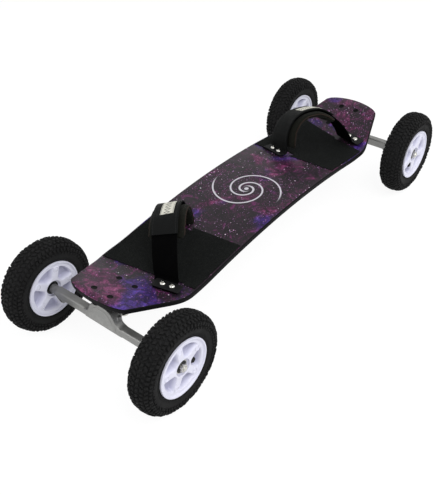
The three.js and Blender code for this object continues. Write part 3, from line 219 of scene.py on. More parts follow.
class Effects:
    """The shader node groups that several finishes share, each made once."""

    @staticmethod
    def start(name: str, inputs: Mapping[str, float | None], *outputs: str) -> tuple[Graph, Any, Any]:
        """Makes an empty group with its sockets.

        Args:
            name: The group's name.
            inputs: The first value of each number that goes in, or None for a place.
            outputs: The names of the numbers that come out.

        Returns:
            The graph, what goes in by name, and what comes out by name.
        """
        tree = bpy.data.node_groups.new(name, "ShaderNodeTree")
        for label, value in inputs.items():
            kind = "NodeSocketVector" if value is None else "NodeSocketFloat"
            socket = tree.interface.new_socket(label, in_out="INPUT", socket_type=kind)
            if value is not None:
                socket.default_value = value
        for label in outputs:
            tree.interface.new_socket(label, in_out="OUTPUT", socket_type="NodeSocketFloat")
        return Graph(tree), tree.nodes.new("NodeGroupInput").outputs, tree.nodes.new("NodeGroupOutput").inputs

    @staticmethod
    @cache
    def grain() -> Tree:
        """A fine grain over a broad patchiness.

        Returns:
            The group, with Tone for colour and gloss, and Height for bump.
        """
        inputs = {"Fine": 900.0, "Broad": 14.0, "Share": 0.5}
        graph, given, out = Effects.start("surface grain", inputs, "Tone", "Height")
        spot = graph.place()
        fine = graph.noise(spot, given["Fine"], 2.0)
        broad = graph.noise(spot, given["Broad"], 4.0, 0.55)
        graph.feed(out["Tone"], graph.blend(given["Share"], fine, broad))
        graph.feed(out["Height"], fine)
        return graph.tree

    @staticmethod
    @cache
    def wear() -> Tree:
        """Worn edges, broken up by noise.

        Returns:
            The group, with a Mask that is 1 where the edge is worn.
        """
        graph, given, out = Effects.start("edge wear", {"Amount": 0.5, "Size": 120.0}, "Mask")
        sharp = graph.between(graph.node("NewGeometry").outputs["Pointiness"], 0.505, 0.56)
        broken = graph.between(graph.noise(graph.place(), given["Size"], 4.0, 0.65), 0.42, 0.62)
        graph.feed(out["Mask"], graph.times(sharp, broken, given["Amount"]))
        return graph.tree

    @staticmethod
    @cache
    def weave() -> Tree:
        """Threads over and under each other.

        Returns:
            The group, with Height for bump and Tone for colour.
        """
        inputs = {"Place": None, "Across": 700.0, "Along": 700.0}
        graph, given, out = Effects.start("thread weave", inputs, "Height", "Tone")
        split = graph.split(given["Place"])
        threads = [graph.times(split[0], given["Across"]), graph.times(split[1], given["Along"])]
        crossing = graph.math("ADD", *(graph.math("FLOOR", thread) for thread in threads))
        over = graph.math("MODULO", graph.math("ABSOLUTE", crossing), 2.0)
        hills = [graph.math("SINE", graph.times(graph.math("FRACT", thread), math.pi)) for thread in threads]
        pick = graph.blend(over, *hills)
        graph.feed(out["Height"], pick)
        graph.feed(out["Tone"], graph.between(pick, 0.1, 0.9))
        return graph.tree

    @staticmethod
    @cache
    def stars() -> Tree:
        """Scattered points of light.

        Returns:
            The group, with a Mask that is 1 on each star.
        """
        inputs = {"Place": None, "Density": 200.0, "Radius": 0.1, "Share": 0.3}
        graph, given, out = Effects.start("star scatter", inputs, "Mask")
        distance, color = graph.cells(given["Place"], given["Density"])
        pick = graph.node("SeparateColor", {0: color}).outputs
        size = graph.times(given["Radius"], graph.math("POWER", pick[1], 2.0))
        lit = graph.math("LESS_THAN", pick[0], given["Share"])
        glow = graph.math("SUBTRACT", 1.0, graph.math("DIVIDE", distance, size))
        graph.feed(out["Mask"], graph.times(lit, graph.between(glow, 0.0, 0.5)))
        return graph.tree


# ---------------------------------------------------------------- finishes


@dataclass(frozen=True)
class Finish:
    """A material with its own colour and gloss. Kinds of finish add their detail in dress()."""

    name: str
    color: Color
    roughness: float = 0.5
    metallic: float = 0.0
    coat: float = 0.0
    sheen: float = 0.0
    specular: float = 0.5

    def material(self) -> bpy.types.Material:
        """Makes the material, or finds it if it is made already.

        Returns:
            The material.
        """
        known = bpy.data.materials.get(self.name)
        if known is not None:
            return known
        material = bpy.data.materials.new(self.name)
        material.use_nodes = True
        material.node_tree.nodes.clear()
        graph = Graph(material.node_tree)
        shader = graph.node("BsdfPrincipled", {
            "Base Color": self.color, "Roughness": self.roughness, "Metallic": self.metallic,
            "Coat Weight": self.coat, "Coat Roughness": 0.12, "Sheen Weight": self.sheen,
            "Sheen Roughness": 0.5, "Specular IOR Level": self.specular,
        })
        for name, socket in zip(("Base Color", "Roughness", "Normal"), self.dress(graph)):
            graph.feed(shader.inputs[name], socket)
        graph.node("OutputMaterial", {"Surface": self.shown(graph, shader.outputs[0])})
        return material

    def dress(self, graph: Graph) -> tuple[Socket, ...]:
        """The colour, roughness and normal that change over the surface. Each kind of finish has its own."""
        raise NotImplementedError

    def shown(self, graph: Graph, surface: Socket) -> Socket:
        """The shader that is seen, for a finish that adds to its own."""
        return surface


@dataclass(frozen=True)
class Moulded(Finish):
    """Moulded plastic or rubber: a faint patchiness and a fine skin."""

    fine: float = 1500.0
    broad: float = 22.0
    share: float = 0.7
    dark: float = 0.9
    light: float = 1.08
    less: float = 0.06
    more: float = 0.08
    depth: float = 0.00004

    def dress(self, graph: Graph) -> tuple[Socket, ...]:
        """The skin, under what lies over it.

        Args:
            graph: The material's graph.

        Returns:
            Its colour, roughness and normal.
        """
        grain = graph.group(Effects.grain(), Fine=self.fine, Broad=self.broad, Share=self.share)
        tones = [tuple(min(1.0, c * tone) for c in self.color) for tone in (self.dark, self.light)]
        paint = graph.ramp(grain["Tone"], list(zip((0.3, 0.7), tones)))
        rough = graph.between(grain["Tone"], 0.3, 0.7, self.roughness - self.less, self.roughness + self.more)
        return self.covered(graph, paint), rough, graph.bump(grain["Height"], self.depth)

    def covered(self, graph: Graph, paint: Socket) -> Socket:
        """The colour with what lies over it, for the kinds of skin that have that."""
        return paint


@dataclass(frozen=True)
class Nylon(Moulded):
    """Moulded nylon with painted shade: its colour turns greyer and cooler down in its pockets."""

    # The colour of the painted shade down in the pockets.
    shade: Color = (0.42, 0.42, 0.55)

    def covered(self, graph: Graph, paint: Socket) -> Socket:
        """The colour with painted shade: a cooler, greyer tone deeper along Y, down in the pockets."""
        # Painted shade: a mask that is 1 deep along Y, down in the pockets.
        pocket_shade_mask = graph.between(graph.split(graph.place())[1], 0.009, 0.0212, 1.0, 0.0)
        return graph.mix(pocket_shade_mask, paint, self.shade)


@dataclass(frozen=True)
class Metal(Moulded):
    """Cast, plated or painted metal whose edges wear to a lighter tone."""

    fine: float = 700.0
    broad: float = 30.0
    share: float = 0.55
    dark: float = 0.85
    light: float = 1.12
    less: float = 0.08
    more: float = 0.1
    depth: float = 0.00003
    worn: Color = (0.7, 0.7, 0.7)
    wear: float = 0.5

    def covered(self, graph: Graph, paint: Socket) -> Socket:
        """The colour with its worn edges."""
        return graph.mix(graph.group(Effects.wear(), Amount=self.wear, Size=160.0)["Mask"], paint, self.worn)


@dataclass(frozen=True)
class Tread(Moulded):
    """Tyre rubber: matt black, with dust in patches."""

    fine: float = 1100.0
    broad: float = 34.0
    share: float = 0.6
    dark: float = 0.65
    light: float = 1.35
    less: float = 0.12
    more: float = 0.1
    depth: float = 0.00012
    dust: Color = (0.02, 0.0195, 0.0185)

    def covered(self, graph: Graph, paint: Socket) -> Socket:
        """The colour under a little dust."""
        dusty = graph.between(graph.noise(graph.place(), 60.0, 5.0, 0.7), 0.5, 0.8, 0.0, 0.25)
        return graph.mix(dusty, paint, self.dust)


@dataclass(frozen=True)
class Grit(Finish):
    """Coarse grip sheet: packed mineral grains, a few of which catch the light."""

    grains: float = 1500.0
    shades: tuple[tuple[float, Color], ...] = (
        (0.0, (0.003, 0.0034, 0.0033)), (0.85, (0.008, 0.009, 0.0086)), (1.0, (0.02, 0.021, 0.0205)),
    )
    patch: Color = (0.011, 0.012, 0.0115)

    def dress(self, graph: Graph) -> tuple[Socket, ...]:
        """The grains, each with its own shade and gloss.

        Args:
            graph: The material's graph.

        Returns:
            Their colour, roughness and normal.
        """
        distance, color = graph.cells(graph.place(), self.grains)
        pick = graph.node("SeparateColor", {0: color}).outputs[0]
        faded = graph.between(graph.noise(graph.place(), 18.0, 4.0, 0.6), 0.45, 0.75, 0.0, 0.3)
        paint = graph.mix(faded, graph.ramp(pick, self.shades), self.patch)
        rough = graph.between(pick, 0.6, 1.0, self.roughness, self.roughness - 0.3)
        return paint, rough, graph.bump(distance, 0.0004, 0.8)


@dataclass(frozen=True)
class Woven(Finish):
    """Cloth or webbing whose threads follow the surface coordinates, in metres."""

    across: float = 700.0
    along: float = 700.0
    depth: float = 0.00025
    lit: Color = (0.02, 0.021, 0.021)
    seam: float = 0.0

    def dress(self, graph: Graph) -> tuple[Socket, ...]:
        """The threads, with a stitched line along both edges where there is a seam.

        Args:
            graph: The material's graph.

        Returns:
            Their colour, roughness and normal.
        """
        spot = graph.place("UV")
        threads = graph.group(Effects.weave(), Place=spot, Across=self.across, Along=self.along)
        patch = graph.noise(graph.place(), 45.0, 5.0, 0.65)
        tone = graph.mix(threads["Tone"], tuple(0.4 * c for c in self.color), self.color)
        paint = graph.mix(graph.between(patch, 0.45, 0.8, 0.0, 0.5), tone, self.lit)
        height = threads["Height"]
        if self.seam:
            stitch = self.stitches(graph, spot)
            paint = graph.mix(stitch, paint, tuple(2.2 * c for c in self.lit))
            height = graph.math("ADD", height, graph.times(stitch, 2.0))
        rough = graph.between(patch, 0.3, 0.7, self.roughness - 0.08, self.roughness + 0.08)
        return paint, rough, graph.bump(height, self.depth, 0.9)

    def stitches(self, graph: Graph, spot: Socket) -> Socket:
        """Short stitches in a row near each edge.

        Args:
            graph: The material's graph.
            spot: The surface coordinates.

        Returns:
            A mask that is 1 on a stitch.
        """
        across, along, _ = graph.split(spot)
        aside = graph.math("ABSOLUTE", graph.math("SUBTRACT", graph.math("ABSOLUTE", across), self.seam))
        beat = graph.math("FRACT", graph.times(along, 300.0))
        gap = graph.math("ABSOLUTE", graph.math("SUBTRACT", beat, 0.5))
        line, dash = graph.between(aside, 0.0003, 0.0006, 1.0, 0.0), graph.between(gap, 0.3, 0.36, 1.0, 0.0)
        return graph.times(line, dash)


@dataclass(frozen=True)
class Nebula(Finish):
    """The deck's print: clouds of magenta, violet and blue over black, with stars and a far spiral.

    Each row of stars gives the density, radius, share and colour of one size of star. Each row of
    pink, blue and dark gives the place and colour of one stop.
    """

    spiral_reach: float = 0.084
    spiral_turns: float = 9.0
    spiral_squash: float = 0.94
    line_share: float = 0.00016
    silver: Color = (0.62, 0.6, 0.66)
    stars: tuple[tuple[float, float, float, Color], ...] = (
        (420.0, 0.5, 0.55, (0.30, 0.05, 0.22)),
        (300.0, 0.45, 0.5, (0.5, 0.26, 0.56)),
        (150.0, 0.27, 0.6, (0.86, 0.66, 0.85)),
        (60.0, 0.14, 0.55, (0.92, 0.88, 0.95)),
    )
    pink: tuple[tuple[float, Color], ...] = (
        (0.38, (0.009, 0.004, 0.008)), (0.5, (0.05, 0.009, 0.036)), (0.6, (0.2, 0.04, 0.12)),
        (0.74, (0.46, 0.17, 0.32)),
    )
    blue: tuple[tuple[float, Color], ...] = (
        (0.38, (0.006, 0.004, 0.013)), (0.5, (0.026, 0.01, 0.085)), (0.6, (0.075, 0.035, 0.27)),
        (0.74, (0.22, 0.16, 0.5)),
    )
    dark: tuple[tuple[float, Color], ...] = (
        (0.4, (0.009, 0.007, 0.009)), (0.55, (0.019, 0.011, 0.018)), (0.66, (0.13, 0.02, 0.1)),
    )

    def dress(self, graph: Graph) -> tuple[Socket, ...]:
        """The clouds, stars and spiral under a slightly smeared lacquer.

        Args:
            graph: The material's graph.

        Returns:
            Their colour, roughness and normal.
        """
        spot = graph.place()
        paint = self.sky(graph, spot)
        clump = graph.between(graph.noise(spot, 13.0, 4.0, 0.6), 0.42, 0.6, 0.25, 1.0)
        for density, radius, share, color in self.stars:
            lit = graph.group(Effects.stars(), Place=spot, Density=density, Radius=radius, Share=share)
            paint = graph.mix(graph.times(lit["Mask"], clump), paint, color)
        paint = graph.mix(self.spiral(graph, spot), paint, self.silver)
        smear = graph.noise(spot, 26.0, 5.0, 0.6)
        rough = graph.between(smear, 0.35, 0.7, self.roughness - 0.07, self.roughness + 0.1)
        grain = graph.group(Effects.grain(), Fine=1400.0, Broad=20.0, Share=0.2)
        return paint, rough, graph.bump(grain["Height"], 0.00002)

    def sky(self, graph: Graph, spot: Socket) -> Socket:
        """The clouds: dark and speckled in the middle, pinker towards the tips, and bluer beside the grip.

        Args:
            graph: The material's graph.
            spot: The place on the deck.

        Returns:
            Their colour.
        """
        reach = graph.math("ABSOLUTE", graph.split(spot)[0])
        large = graph.noise(spot, 9.0, 6.0, 0.62, 0.8)
        wisps = graph.noise(spot, 42.0, 9.0, 0.8, 0.9)
        tips = graph.between(reach, 0.31, 0.4)
        beside = graph.times(graph.between(reach, 0.1, 0.16), graph.between(reach, 0.33, 0.4, 1.0, 0.0))
        lean = graph.math("SUBTRACT", graph.times(beside, 0.12), graph.times(tips, 0.06))
        tint = graph.math("ADD", graph.noise(spot, 5.0, 3.0, 0.5), lean)
        pink, blue, dark = (graph.ramp(wisps, stops) for stops in (self.pink, self.blue, self.dark))
        clouds = graph.mix(graph.between(tint, 0.52, 0.58), pink, blue)
        more = graph.times(graph.math("ADD", tips, graph.times(beside, 0.4)), 0.09)
        cover = graph.math("ADD", large, more)
        return graph.mix(graph.between(cover, 0.5, 0.62), dark, clouds)

    def spiral(self, graph: Graph, spot: Socket) -> Socket:
        """A far galaxy in the middle of the deck: two thin winding lines round a small core.

        Args:
            graph: The material's graph.
            spot: The place on the deck.

        Returns:
            A mask of its lines.
        """
        split = graph.split(spot)
        x, y = graph.times(split[0], self.spiral_squash), split[1]
        squared = graph.math("ADD", graph.times(x, x), graph.times(y, y))
        reach = graph.math("SQRT", squared)
        spread = graph.math("LOGARITHM", graph.math("ADD", reach, 0.004), math.e)
        wound = graph.times(spread, self.spiral_turns)
        turn = graph.times(graph.math("ARCTAN2", y, x), 2.0)
        arms = graph.math("COSINE", graph.math("ADD", turn, wound))
        aside = graph.times(graph.math("SUBTRACT", 1.0, arms), squared)
        line = graph.between(aside, 0.4 * self.line_share, self.line_share, 1.0, 0.0)
        fade = graph.between(reach, 0.9 * self.spiral_reach, self.spiral_reach, 1.0, 0.0)
        core = graph.between(reach, 0.004, 0.0055, 1.0, 0.0)
        inside = graph.between(reach, 0.008, 0.012)
        return graph.times(graph.math("MAXIMUM", graph.times(line, fade, inside), core), 0.88)


@dataclass(frozen=True)
class PatternCloth(Finish):
    """The pale woven patch: plain cloth with a border and a row of small lozenges."""

    thread: Color = (0.05, 0.05, 0.05)
    threads: float = 1100.0
    lozenges: float = 105.0

    def dress(self, graph: Graph) -> tuple[Socket, ...]:
        """The cloth and its woven pattern.

        Args:
            graph: The material's graph.

        Returns:
            Their colour, roughness and normal.
        """
        spot = graph.place("UV")
        threads = graph.group(Effects.weave(), Place=spot, Across=self.threads, Along=self.threads)
        split = graph.split(spot)
        across = graph.math("ABSOLUTE", split[0])
        beat = graph.math("FRACT", graph.times(split[1], self.lozenges))
        wave = graph.math("ABSOLUTE", graph.math("SUBTRACT", beat, 0.5))
        lozenge = graph.math("ADD", graph.times(across, 110.0), graph.times(wave, 1.9))
        inked = graph.times(graph.between(lozenge, 0.80, 0.86, 1.0, 0.0), graph.between(lozenge, 0.44, 0.5))
        inner, outer = graph.between(across, 0.0118, 0.0121), graph.between(across, 0.0128, 0.0131, 1.0, 0.0)
        border = graph.times(inner, outer)
        cloth = graph.mix(threads["Tone"], tuple(0.8 * c for c in self.color), self.color)
        paint = graph.mix(graph.times(graph.math("MAXIMUM", inked, border), 0.85), cloth, self.thread)
        rough = graph.between(threads["Tone"], 0.0, 1.0, self.roughness + 0.05, self.roughness - 0.1)
        return paint, rough, graph.bump(threads["Height"], 0.00015)


PRINT = Nebula("deck print", (0.05, 0.02, 0.06), roughness=0.42, coat=0.04, specular=0.17)
LACQUER = Moulded("black deck edge", (0.003, 0.003, 0.0035), roughness=0.55, specular=0.08)
GRIP = Grit("grip sheet", (0.008, 0.009, 0.0085), roughness=0.92, specular=0.06)
RUBBER = Tread("tyre rubber", (0.006, 0.006, 0.0062), roughness=0.75, specular=0.16)
NYLON = Nylon("white nylon", (0.70, 0.70, 0.82), roughness=0.4, coat=0.1, fine=900.0, dark=0.94, light=1.04)
CAST = Metal("grey casting", (0.27, 0.27, 0.262), roughness=0.46, metallic=0.8, fine=520.0, depth=0.00006,
             worn=(0.42, 0.42, 0.41), wear=0.35)
# Near-black baseplate: partly a dark casting, partly painted shade for the dark under the deck's tip.
BLACK_CAST_AND_SHADE = Metal("black casting", (0.008, 0.008, 0.009), roughness=0.5, specular=0.25,
                   worn=(0.07, 0.07, 0.07), wear=0.3)
ZINC = Metal("bright steel", (0.62, 0.61, 0.57), roughness=0.24, metallic=1.0,
             worn=(0.75, 0.74, 0.7), wear=0.3)
# Black steel for nuts, bolt heads and bracket plates; on the inner bearings it is painted shade for the hub's
# recess.
BLACK_STEEL_AND_SHADE = Metal("black steel", (0.004, 0.004, 0.0045), roughness=0.5, specular=0.14,
                    worn=(0.03, 0.03, 0.03), wear=0.15)
BLACK_OXIDE = Metal("black oxide", (0.0015, 0.0015, 0.0015), roughness=0.6, specular=0.06,
                    worn=(0.01, 0.01, 0.01), wear=0.1)
# Near-black for the bearings' seals, and painted shade on the walls of the hub's bolt holes.
SEAL_AND_HOLE_SHADE = Moulded("bearing seal and hole shade", (0.005, 0.005, 0.006), roughness=0.5, specular=0.25)
URETHANE = Moulded("black urethane", (0.012, 0.012, 0.013), roughness=0.4, specular=0.35)
TUBE = Moulded("tube rubber", (0.005, 0.005, 0.0055), roughness=0.6, specular=0.2)
WEBBING = Woven("black webbing", (0.0045, 0.005, 0.005), roughness=0.6, specular=0.07, across=420.0,
                along=620.0, lit=(0.009, 0.0095, 0.0095), seam=0.0235)
LEG_WEBBING = Woven("plain webbing", (0.0008, 0.0008, 0.0009), roughness=0.7, specular=0.02, across=420.0,
                    along=620.0, lit=(0.0015, 0.0015, 0.0015))
PAD_CLOTH = Woven("pad cloth", (0.008, 0.0085, 0.006), roughness=0.8, sheen=0.03, specular=0.07,
                  across=1500.0, along=1500.0, depth=0.00012, lit=(0.018, 0.0185, 0.013))
PIPING = Moulded("pad piping", (0.022, 0.014, 0.011), roughness=0.7, specular=0.1)
PATCH = PatternCloth("pale patch", (0.74, 0.73, 0.64), roughness=0.7)


# ---------------------------------------------------------------- mesh making


@dataclass
class Draft:
    """One mesh in the making, in millimetres, with a finish number on every face."""

    points: list[Array] = field(default_factory=list)
    coordinates: list[Array] = field(default_factory=list)
    faces: list[tuple[int, ...]] = field(default_factory=list)
    finishes: list[int] = field(default_factory=list)
    count: int = 0

    def add(self, points: Array, coordinates: Array | None = None) -> int:
        """Adds points.

        Args:
            points: The points, in a table of any shape.
            coordinates: Their surface coordinates.

        Returns:
            The number of the first point.
        """
        flat = np.asarray(points, dtype=float).reshape(-1, 3)
        start, self.count = self.count, self.count + len(flat)
        self.points.append(flat)
        spots = np.zeros((len(flat), 2)) if coordinates is None else coordinates.reshape(-1, 2)
        self.coordinates.append(spots)
        return start

    def grid(
        self, rows: Array, wrap_rows: bool = False, wrap_columns: bool = True,
        finish: int | Sequence[int] = 0, coordinates: Array | None = None,
    ) -> None:
        """Adds a skin over a table of points.

        Args:
            rows: Points by row and column.
            wrap_rows: Whether the last row joins the first.
            wrap_columns: Whether the last column joins the first.
            finish: One finish number, or one for each column of faces.
            coordinates: Surface coordinates by row and column.
        """
        n, m = rows.shape[:2]
        start = self.add(rows, coordinates)
        i = np.arange(n if wrap_rows else n - 1)[:, None]
        j = np.arange(m if wrap_columns else m - 1)[None, :]
        below, beside = (i + 1) % n, (j + 1) % m
        quads = np.stack([i * m + j, i * m + beside, below * m + beside, below * m + j], -1)
        self.faces.extend(map(tuple, (quads.reshape(-1, 4) + start).tolist()))
        kinds = np.broadcast_to(np.asarray(finish), (len(i), j.size))
        self.finishes.extend(kinds.reshape(-1).tolist())

    def close(self, ring: Array, flat: bool) -> None:
        """Closes a ring of points.

        Args:
            ring: The points.
            flat: Whether one face closes it, and not a fan round its middle.
        """
        total = len(ring)
        start = self.add(ring if flat else np.vstack([ring, ring.mean(axis=0)]))
        fan = [(start + j, start + (j + 1) % total, start + total) for j in range(total)]
        made = [tuple(range(start, start + total))] if flat else fan
        self.faces.extend(made)
        self.finishes.extend([0] * len(made))

    def body(self, rows: Array, flat: bool = False, coordinates: Array | None = None) -> None:
        """Adds a closed body over rings of points.

        Args:
            rows: Points by ring, from end to end.
            flat: Whether each end is one face.
            coordinates: Surface coordinates by ring.
        """
        self.grid(rows, coordinates=coordinates)
        for ring in (rows[0], rows[-1]):
            self.close(ring, flat)

    def rod(self, rings: Profile, axis: Array, base: Array, columns: int = 36, finish: int = 0) -> None:
        """Adds a turned skin along an axis.

        Args:
            rings: Radius and height of each ring, then 6 where the ring is a hexagon.
            axis: The direction of the axis.
            base: Where heights are counted from.
            columns: Points in each ring.
            finish: The finish number.
        """
        self.grid(turned(rings, axis, base, columns), finish=finish)

    def build(
        self, name: str, finishes: Sequence[Finish], matrix: Matrix | None = None,
        weld: bool = True, smooth: float = 40.0,
    ) -> Piece:
        """Makes the object.

        Args:
            name: The piece's name.
            finishes: The finishes that the faces' numbers pick from.
            matrix: Where the piece stands, in metres.
            weld: Whether points in one place become one.
            smooth: The angle above which an edge stays sharp.

        Returns:
            The new object, linked to the scene.
        """
        mesh = bpy.data.meshes.new(name)
        mesh.from_pydata((np.vstack(self.points) * MM).tolist(), [], self.faces)
        mesh.polygons.foreach_set("material_index", self.finishes)
        lay_surface(mesh, np.vstack(self.coordinates))
        work = bmesh.new()
        work.from_mesh(mesh)
        if weld:
            bmesh.ops.remove_doubles(work, verts=work.verts, dist=2e-6)
            bmesh.ops.dissolve_degenerate(work, edges=work.edges, dist=1e-6)
        bmesh.ops.recalc_face_normals(work, faces=work.faces)
        work.to_mesh(mesh)
        work.free()
        return placed(name, mesh, finishes, matrix, smooth)


def placed(
    name: str, mesh: bpy.types.Mesh, finishes: Sequence[Finish],
    matrix: Matrix | None = None, smooth: float = 40.0,
) -> Piece:
    """Puts a mesh in the scene as a dressed object.

    Args:
        name: The piece's name.
        mesh: Its mesh, which several pieces may share.
        finishes: Its finishes, used if the mesh has none yet.
        matrix: Where the piece stands, in metres.
        smooth: The angle above which an edge stays sharp.

    Returns:
        The new object.
    """
    piece = bpy.data.objects.new(name, mesh)
    bpy.context.scene.collection.objects.link(piece)
    if not mesh.materials:
        for finish in finishes:
            mesh.materials.append(finish.material())
        mesh.shade_smooth()
        mesh.set_sharp_from_angle(angle=math.radians(smooth))
    piece.matrix_world = matrix or Matrix.Identity(4)
    return piece


def settled(piece: Piece, body: str, node: str | None = None) -> Piece:
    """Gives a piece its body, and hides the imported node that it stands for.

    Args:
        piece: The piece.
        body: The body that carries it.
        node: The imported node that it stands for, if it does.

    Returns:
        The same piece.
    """
    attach(piece, body)
    if node:
        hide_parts(node)
    return piece


def dress_node(name: str, finish: Finish) -> Piece:
    """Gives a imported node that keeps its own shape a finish.

    Args:
        name: The node's name.
        finish: The finish.

    Returns:
        The node's object.
    """
    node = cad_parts[name]
    for place in node.material_slots:
        place.material = finish.material()
    return node


def lay_surface(mesh: bpy.types.Mesh, coordinates: Array) -> None:
    """Gives a mesh its surface coordinates.

    Args:
        mesh: The mesh.
        coordinates: Coordinates of each of its points, in millimetres.
    """
    layer = mesh.uv_layers.get("surface") or mesh.uv_layers.new(name="surface")
    corners = np.zeros(len(mesh.loops), dtype=np.int64)
    mesh.loops.foreach_get("vertex_index", corners)
    layer.data.foreach_set("uv", (coordinates[corners] * MM).reshape(-1))


def mesh_read(mesh: bpy.types.Mesh, what: str = "co") -> Array:
    """Reads a mesh's points.

    Args:
        mesh: The mesh.
        what: co for places in metres, or normal.

    Returns:
        One row for each point.
    """
    points = np.zeros(len(mesh.vertices) * 3, dtype=np.float32)
    mesh.vertices.foreach_get(what, points)
    return points.reshape(-1, 3).astype(float)


def modified(piece: Piece, *modifiers: tuple[str, Mapping[str, Any]]) -> Piece:
    """Runs modifiers on a piece and keeps their result as its mesh.

    Args:
        piece: The piece.
        modifiers: The type and settings of each modifier.

    Returns:
        The same piece.
    """
    for kind, settings in modifiers:
        modifier = piece.modifiers.new(kind.lower(), kind)
        for name, value in settings.items():
            setattr(modifier, name, value)
    bpy.context.view_layer.update()
    result = bpy.data.meshes.new_from_object(piece.evaluated_get(bpy.context.evaluated_depsgraph_get()))
    piece.modifiers.clear()
    piece.data = result
    return piece


# ---------------------------------------------------------------- curves and sections


def unit(vector: Array) -> Array:
    """A direction, or rows of directions, at unit length."""
    return vector / np.linalg.norm(vector, axis=-1, keepdims=True)


def lengths_along(line: Array) -> Array:
    """The distance along a line at each of its points."""
    return np.concatenate([[0], np.cumsum(np.linalg.norm(np.diff(line, axis=0), axis=1))])


def round_angles(count: int) -> Array:
    """Even angles round a circle."""
    return np.arange(count) * 2 * math.pi / count


def round_y(radius: Any, y: Any, angles: Array) -> Array:
    """Points round the Y axis at a radius and a place along it."""
    return np.stack([radius * np.cos(angles), y + np.zeros(len(angles)), radius * np.sin(angles)], axis=-1)


def turned(rings: Profile, axis: Array, base: Array, columns: int = 36) -> Array:
    """Turns rings round an axis.

    Args:
        rings: Radius and height of each ring, then 6 where the ring is a hexagon.
        axis: The direction of the axis.
        base: Where heights are counted from.
        columns: Points in each ring.

    Returns:
        Points by ring and column.
    """
    along = np.asarray(axis, dtype=float) / np.linalg.norm(axis)
    helper = np.array([0.0, 1.0, 0.0]) if abs(along[1]) < 0.9 else np.array([1.0, 0.0, 0.0])
    first = unit(np.cross(helper, along))
    second = np.cross(along, first)
    angles = round_angles(columns)
    circle = np.cos(angles)[:, None] * first + np.sin(angles)[:, None] * second
    sixth = math.pi / 3
    flat = math.cos(sixth / 2) / np.cos((angles % sixth) - sixth / 2)
    return np.array([
        base + circle * (radius * (flat if shape else np.ones(columns)))[:, None] + along * height
        for radius, height, *shape in rings
    ])


def smooth_share(value: Any, low: float, high: float) -> Any:
    """0 below low, 1 above high and a smooth change between."""
    share = np.clip((np.asarray(value, dtype=float) - low) / (high - low), 0.0, 1.0)
    return share * share * (3 - 2 * share)


def bar_section(height: float, depth: float, corner: float, steps: int = 5) -> Array:
    """Points round a rounded rectangle.

    Args:
        height: Half its height.
        depth: Half its depth.
        corner: The radius of its corners.
        steps: Faces in each corner.

    Returns:
        Depth and height of each point, from the middle.
    """
    points = []
    for quarter, (side, level) in enumerate(((1, 1), (-1, 1), (-1, -1), (1, -1))):
        for step in range(steps + 1):
            angle = (quarter + step / steps) * math.pi / 2
            points.append((side * (depth - corner) + corner * math.cos(angle),
                           level * (height - corner) + corner * math.sin(angle)))
    return np.array(points)


def plate_rows(
    size: tuple[float, float, float], levels: Profile, frame_axes: Sequence[Array], steps: int,
) -> Array:
    """Rings of a flat plate with rounded corners and edges.

    Args:
        size: Its length, width and corner radius.
        levels: Height of each ring, and how far it lies inside the plate's outline.
        frame_axes: The plate's middle, and its directions along, across and up.
        steps: Faces in each corner.

    Returns:
        Points by ring.
    """
    length, width, corner = size
    middle, along, across, up = frame_axes
    section = bar_section(width / 2, length / 2, corner, steps)
    rows = []
    for level, inset in levels:
        points = section * (1 - inset * np.array([2 / length, 2 / width]))
        rows.append(middle + points[:, :1] * along + points[:, 1:] * across + up * level)
    return np.array(rows)


def catmull(places: Array, values: Array, at: Array) -> Array:
    """Draws a smooth curve through values.

    Args:
        places: The values' places.
        values: The values.
        at: Where the curve is read.

    Returns:
        What is read there.
    """
    slopes = np.gradient(values, places)
    index = np.clip(np.searchsorted(places, at, side="right") - 1, 0, len(places) - 2)
    width = places[index + 1] - places[index]
    t = (at - places[index]) / width
    first = (1 + 2 * t) * (1 - t) ** 2 * values[index] + t * t * (3 - 2 * t) * values[index + 1]
    return first + width * (t * (1 - t) ** 2 * slopes[index] + t * t * (t - 1) * slopes[index + 1])


def bezier(first: tuple, middle: tuple, last: tuple, t: float) -> tuple[float, float]:
    """A point of a curve with one handle."""
    weights = ((1 - t) ** 2, 2 * t * (1 - t), t * t)
    return tuple(sum(w * p[k] for w, p in zip(weights, (first, middle, last))) for k in (0, 1))


def ribbon(middle: Array, places: Array, thickness: float) -> Draft:
    """A flat band with rounded edges over a table of middle points.

    Args:
        middle: Points along and across the band.
        places: The points' distances across.
        thickness: How thick the band is.

    Returns:
        Its closed mesh, with surface coordinates along and across.
    """
    across = np.gradient(middle, axis=1)
    normal = unit(np.cross(np.gradient(middle, axis=0), across))
    aside = unit(across)
    half = thickness / 2
    turns = [(0.8 * math.cos(a), math.sin(a)) for a in np.linspace(-math.pi / 2, math.pi / 2, 5)[1:-1]]
    right, left = (
        [middle[:, j] + side * half * (aside[:, j] * out - normal[:, j] * up) for out, up in turns]
        for j, side in ((-1, 1), (0, -1))
    )
    upper = [middle[:, j] + normal[:, j] * half for j in range(len(places))]
    lower = [middle[:, j] - normal[:, j] * half for j in reversed(range(len(places)))]
    distance = lengths_along(middle[:, len(places) // 2])
    u = np.concatenate([places, [places[-1] + half] * 3, places[::-1], [places[0] - half] * 3])
    spots = np.stack(np.broadcast_arrays(u, distance[:, None]), axis=-1)
    draft = Draft()
    draft.body(np.array(upper + right + lower + left).transpose(1, 0, 2), coordinates=spots)
    return draft


def tube(line: Array, radius: float, columns: int) -> Array:
    """Rings of points round a line.

    Args:
        line: The line's points.
        radius: The tube's radius.
        columns: Points in each ring.

    Returns:
        Points by ring and column.
    """
    along = unit(np.gradient(line, axis=0))
    side = unit(np.cross(along, np.array([0.0, 0.0, 1.0])))
    up = np.cross(side, along)
    angles = round_angles(columns)[None, :, None]
    return line[:, None] + radius * (side[:, None] * np.cos(angles) + up[:, None] * np.sin(angles))


# ---------------------------------------------------------------- deck


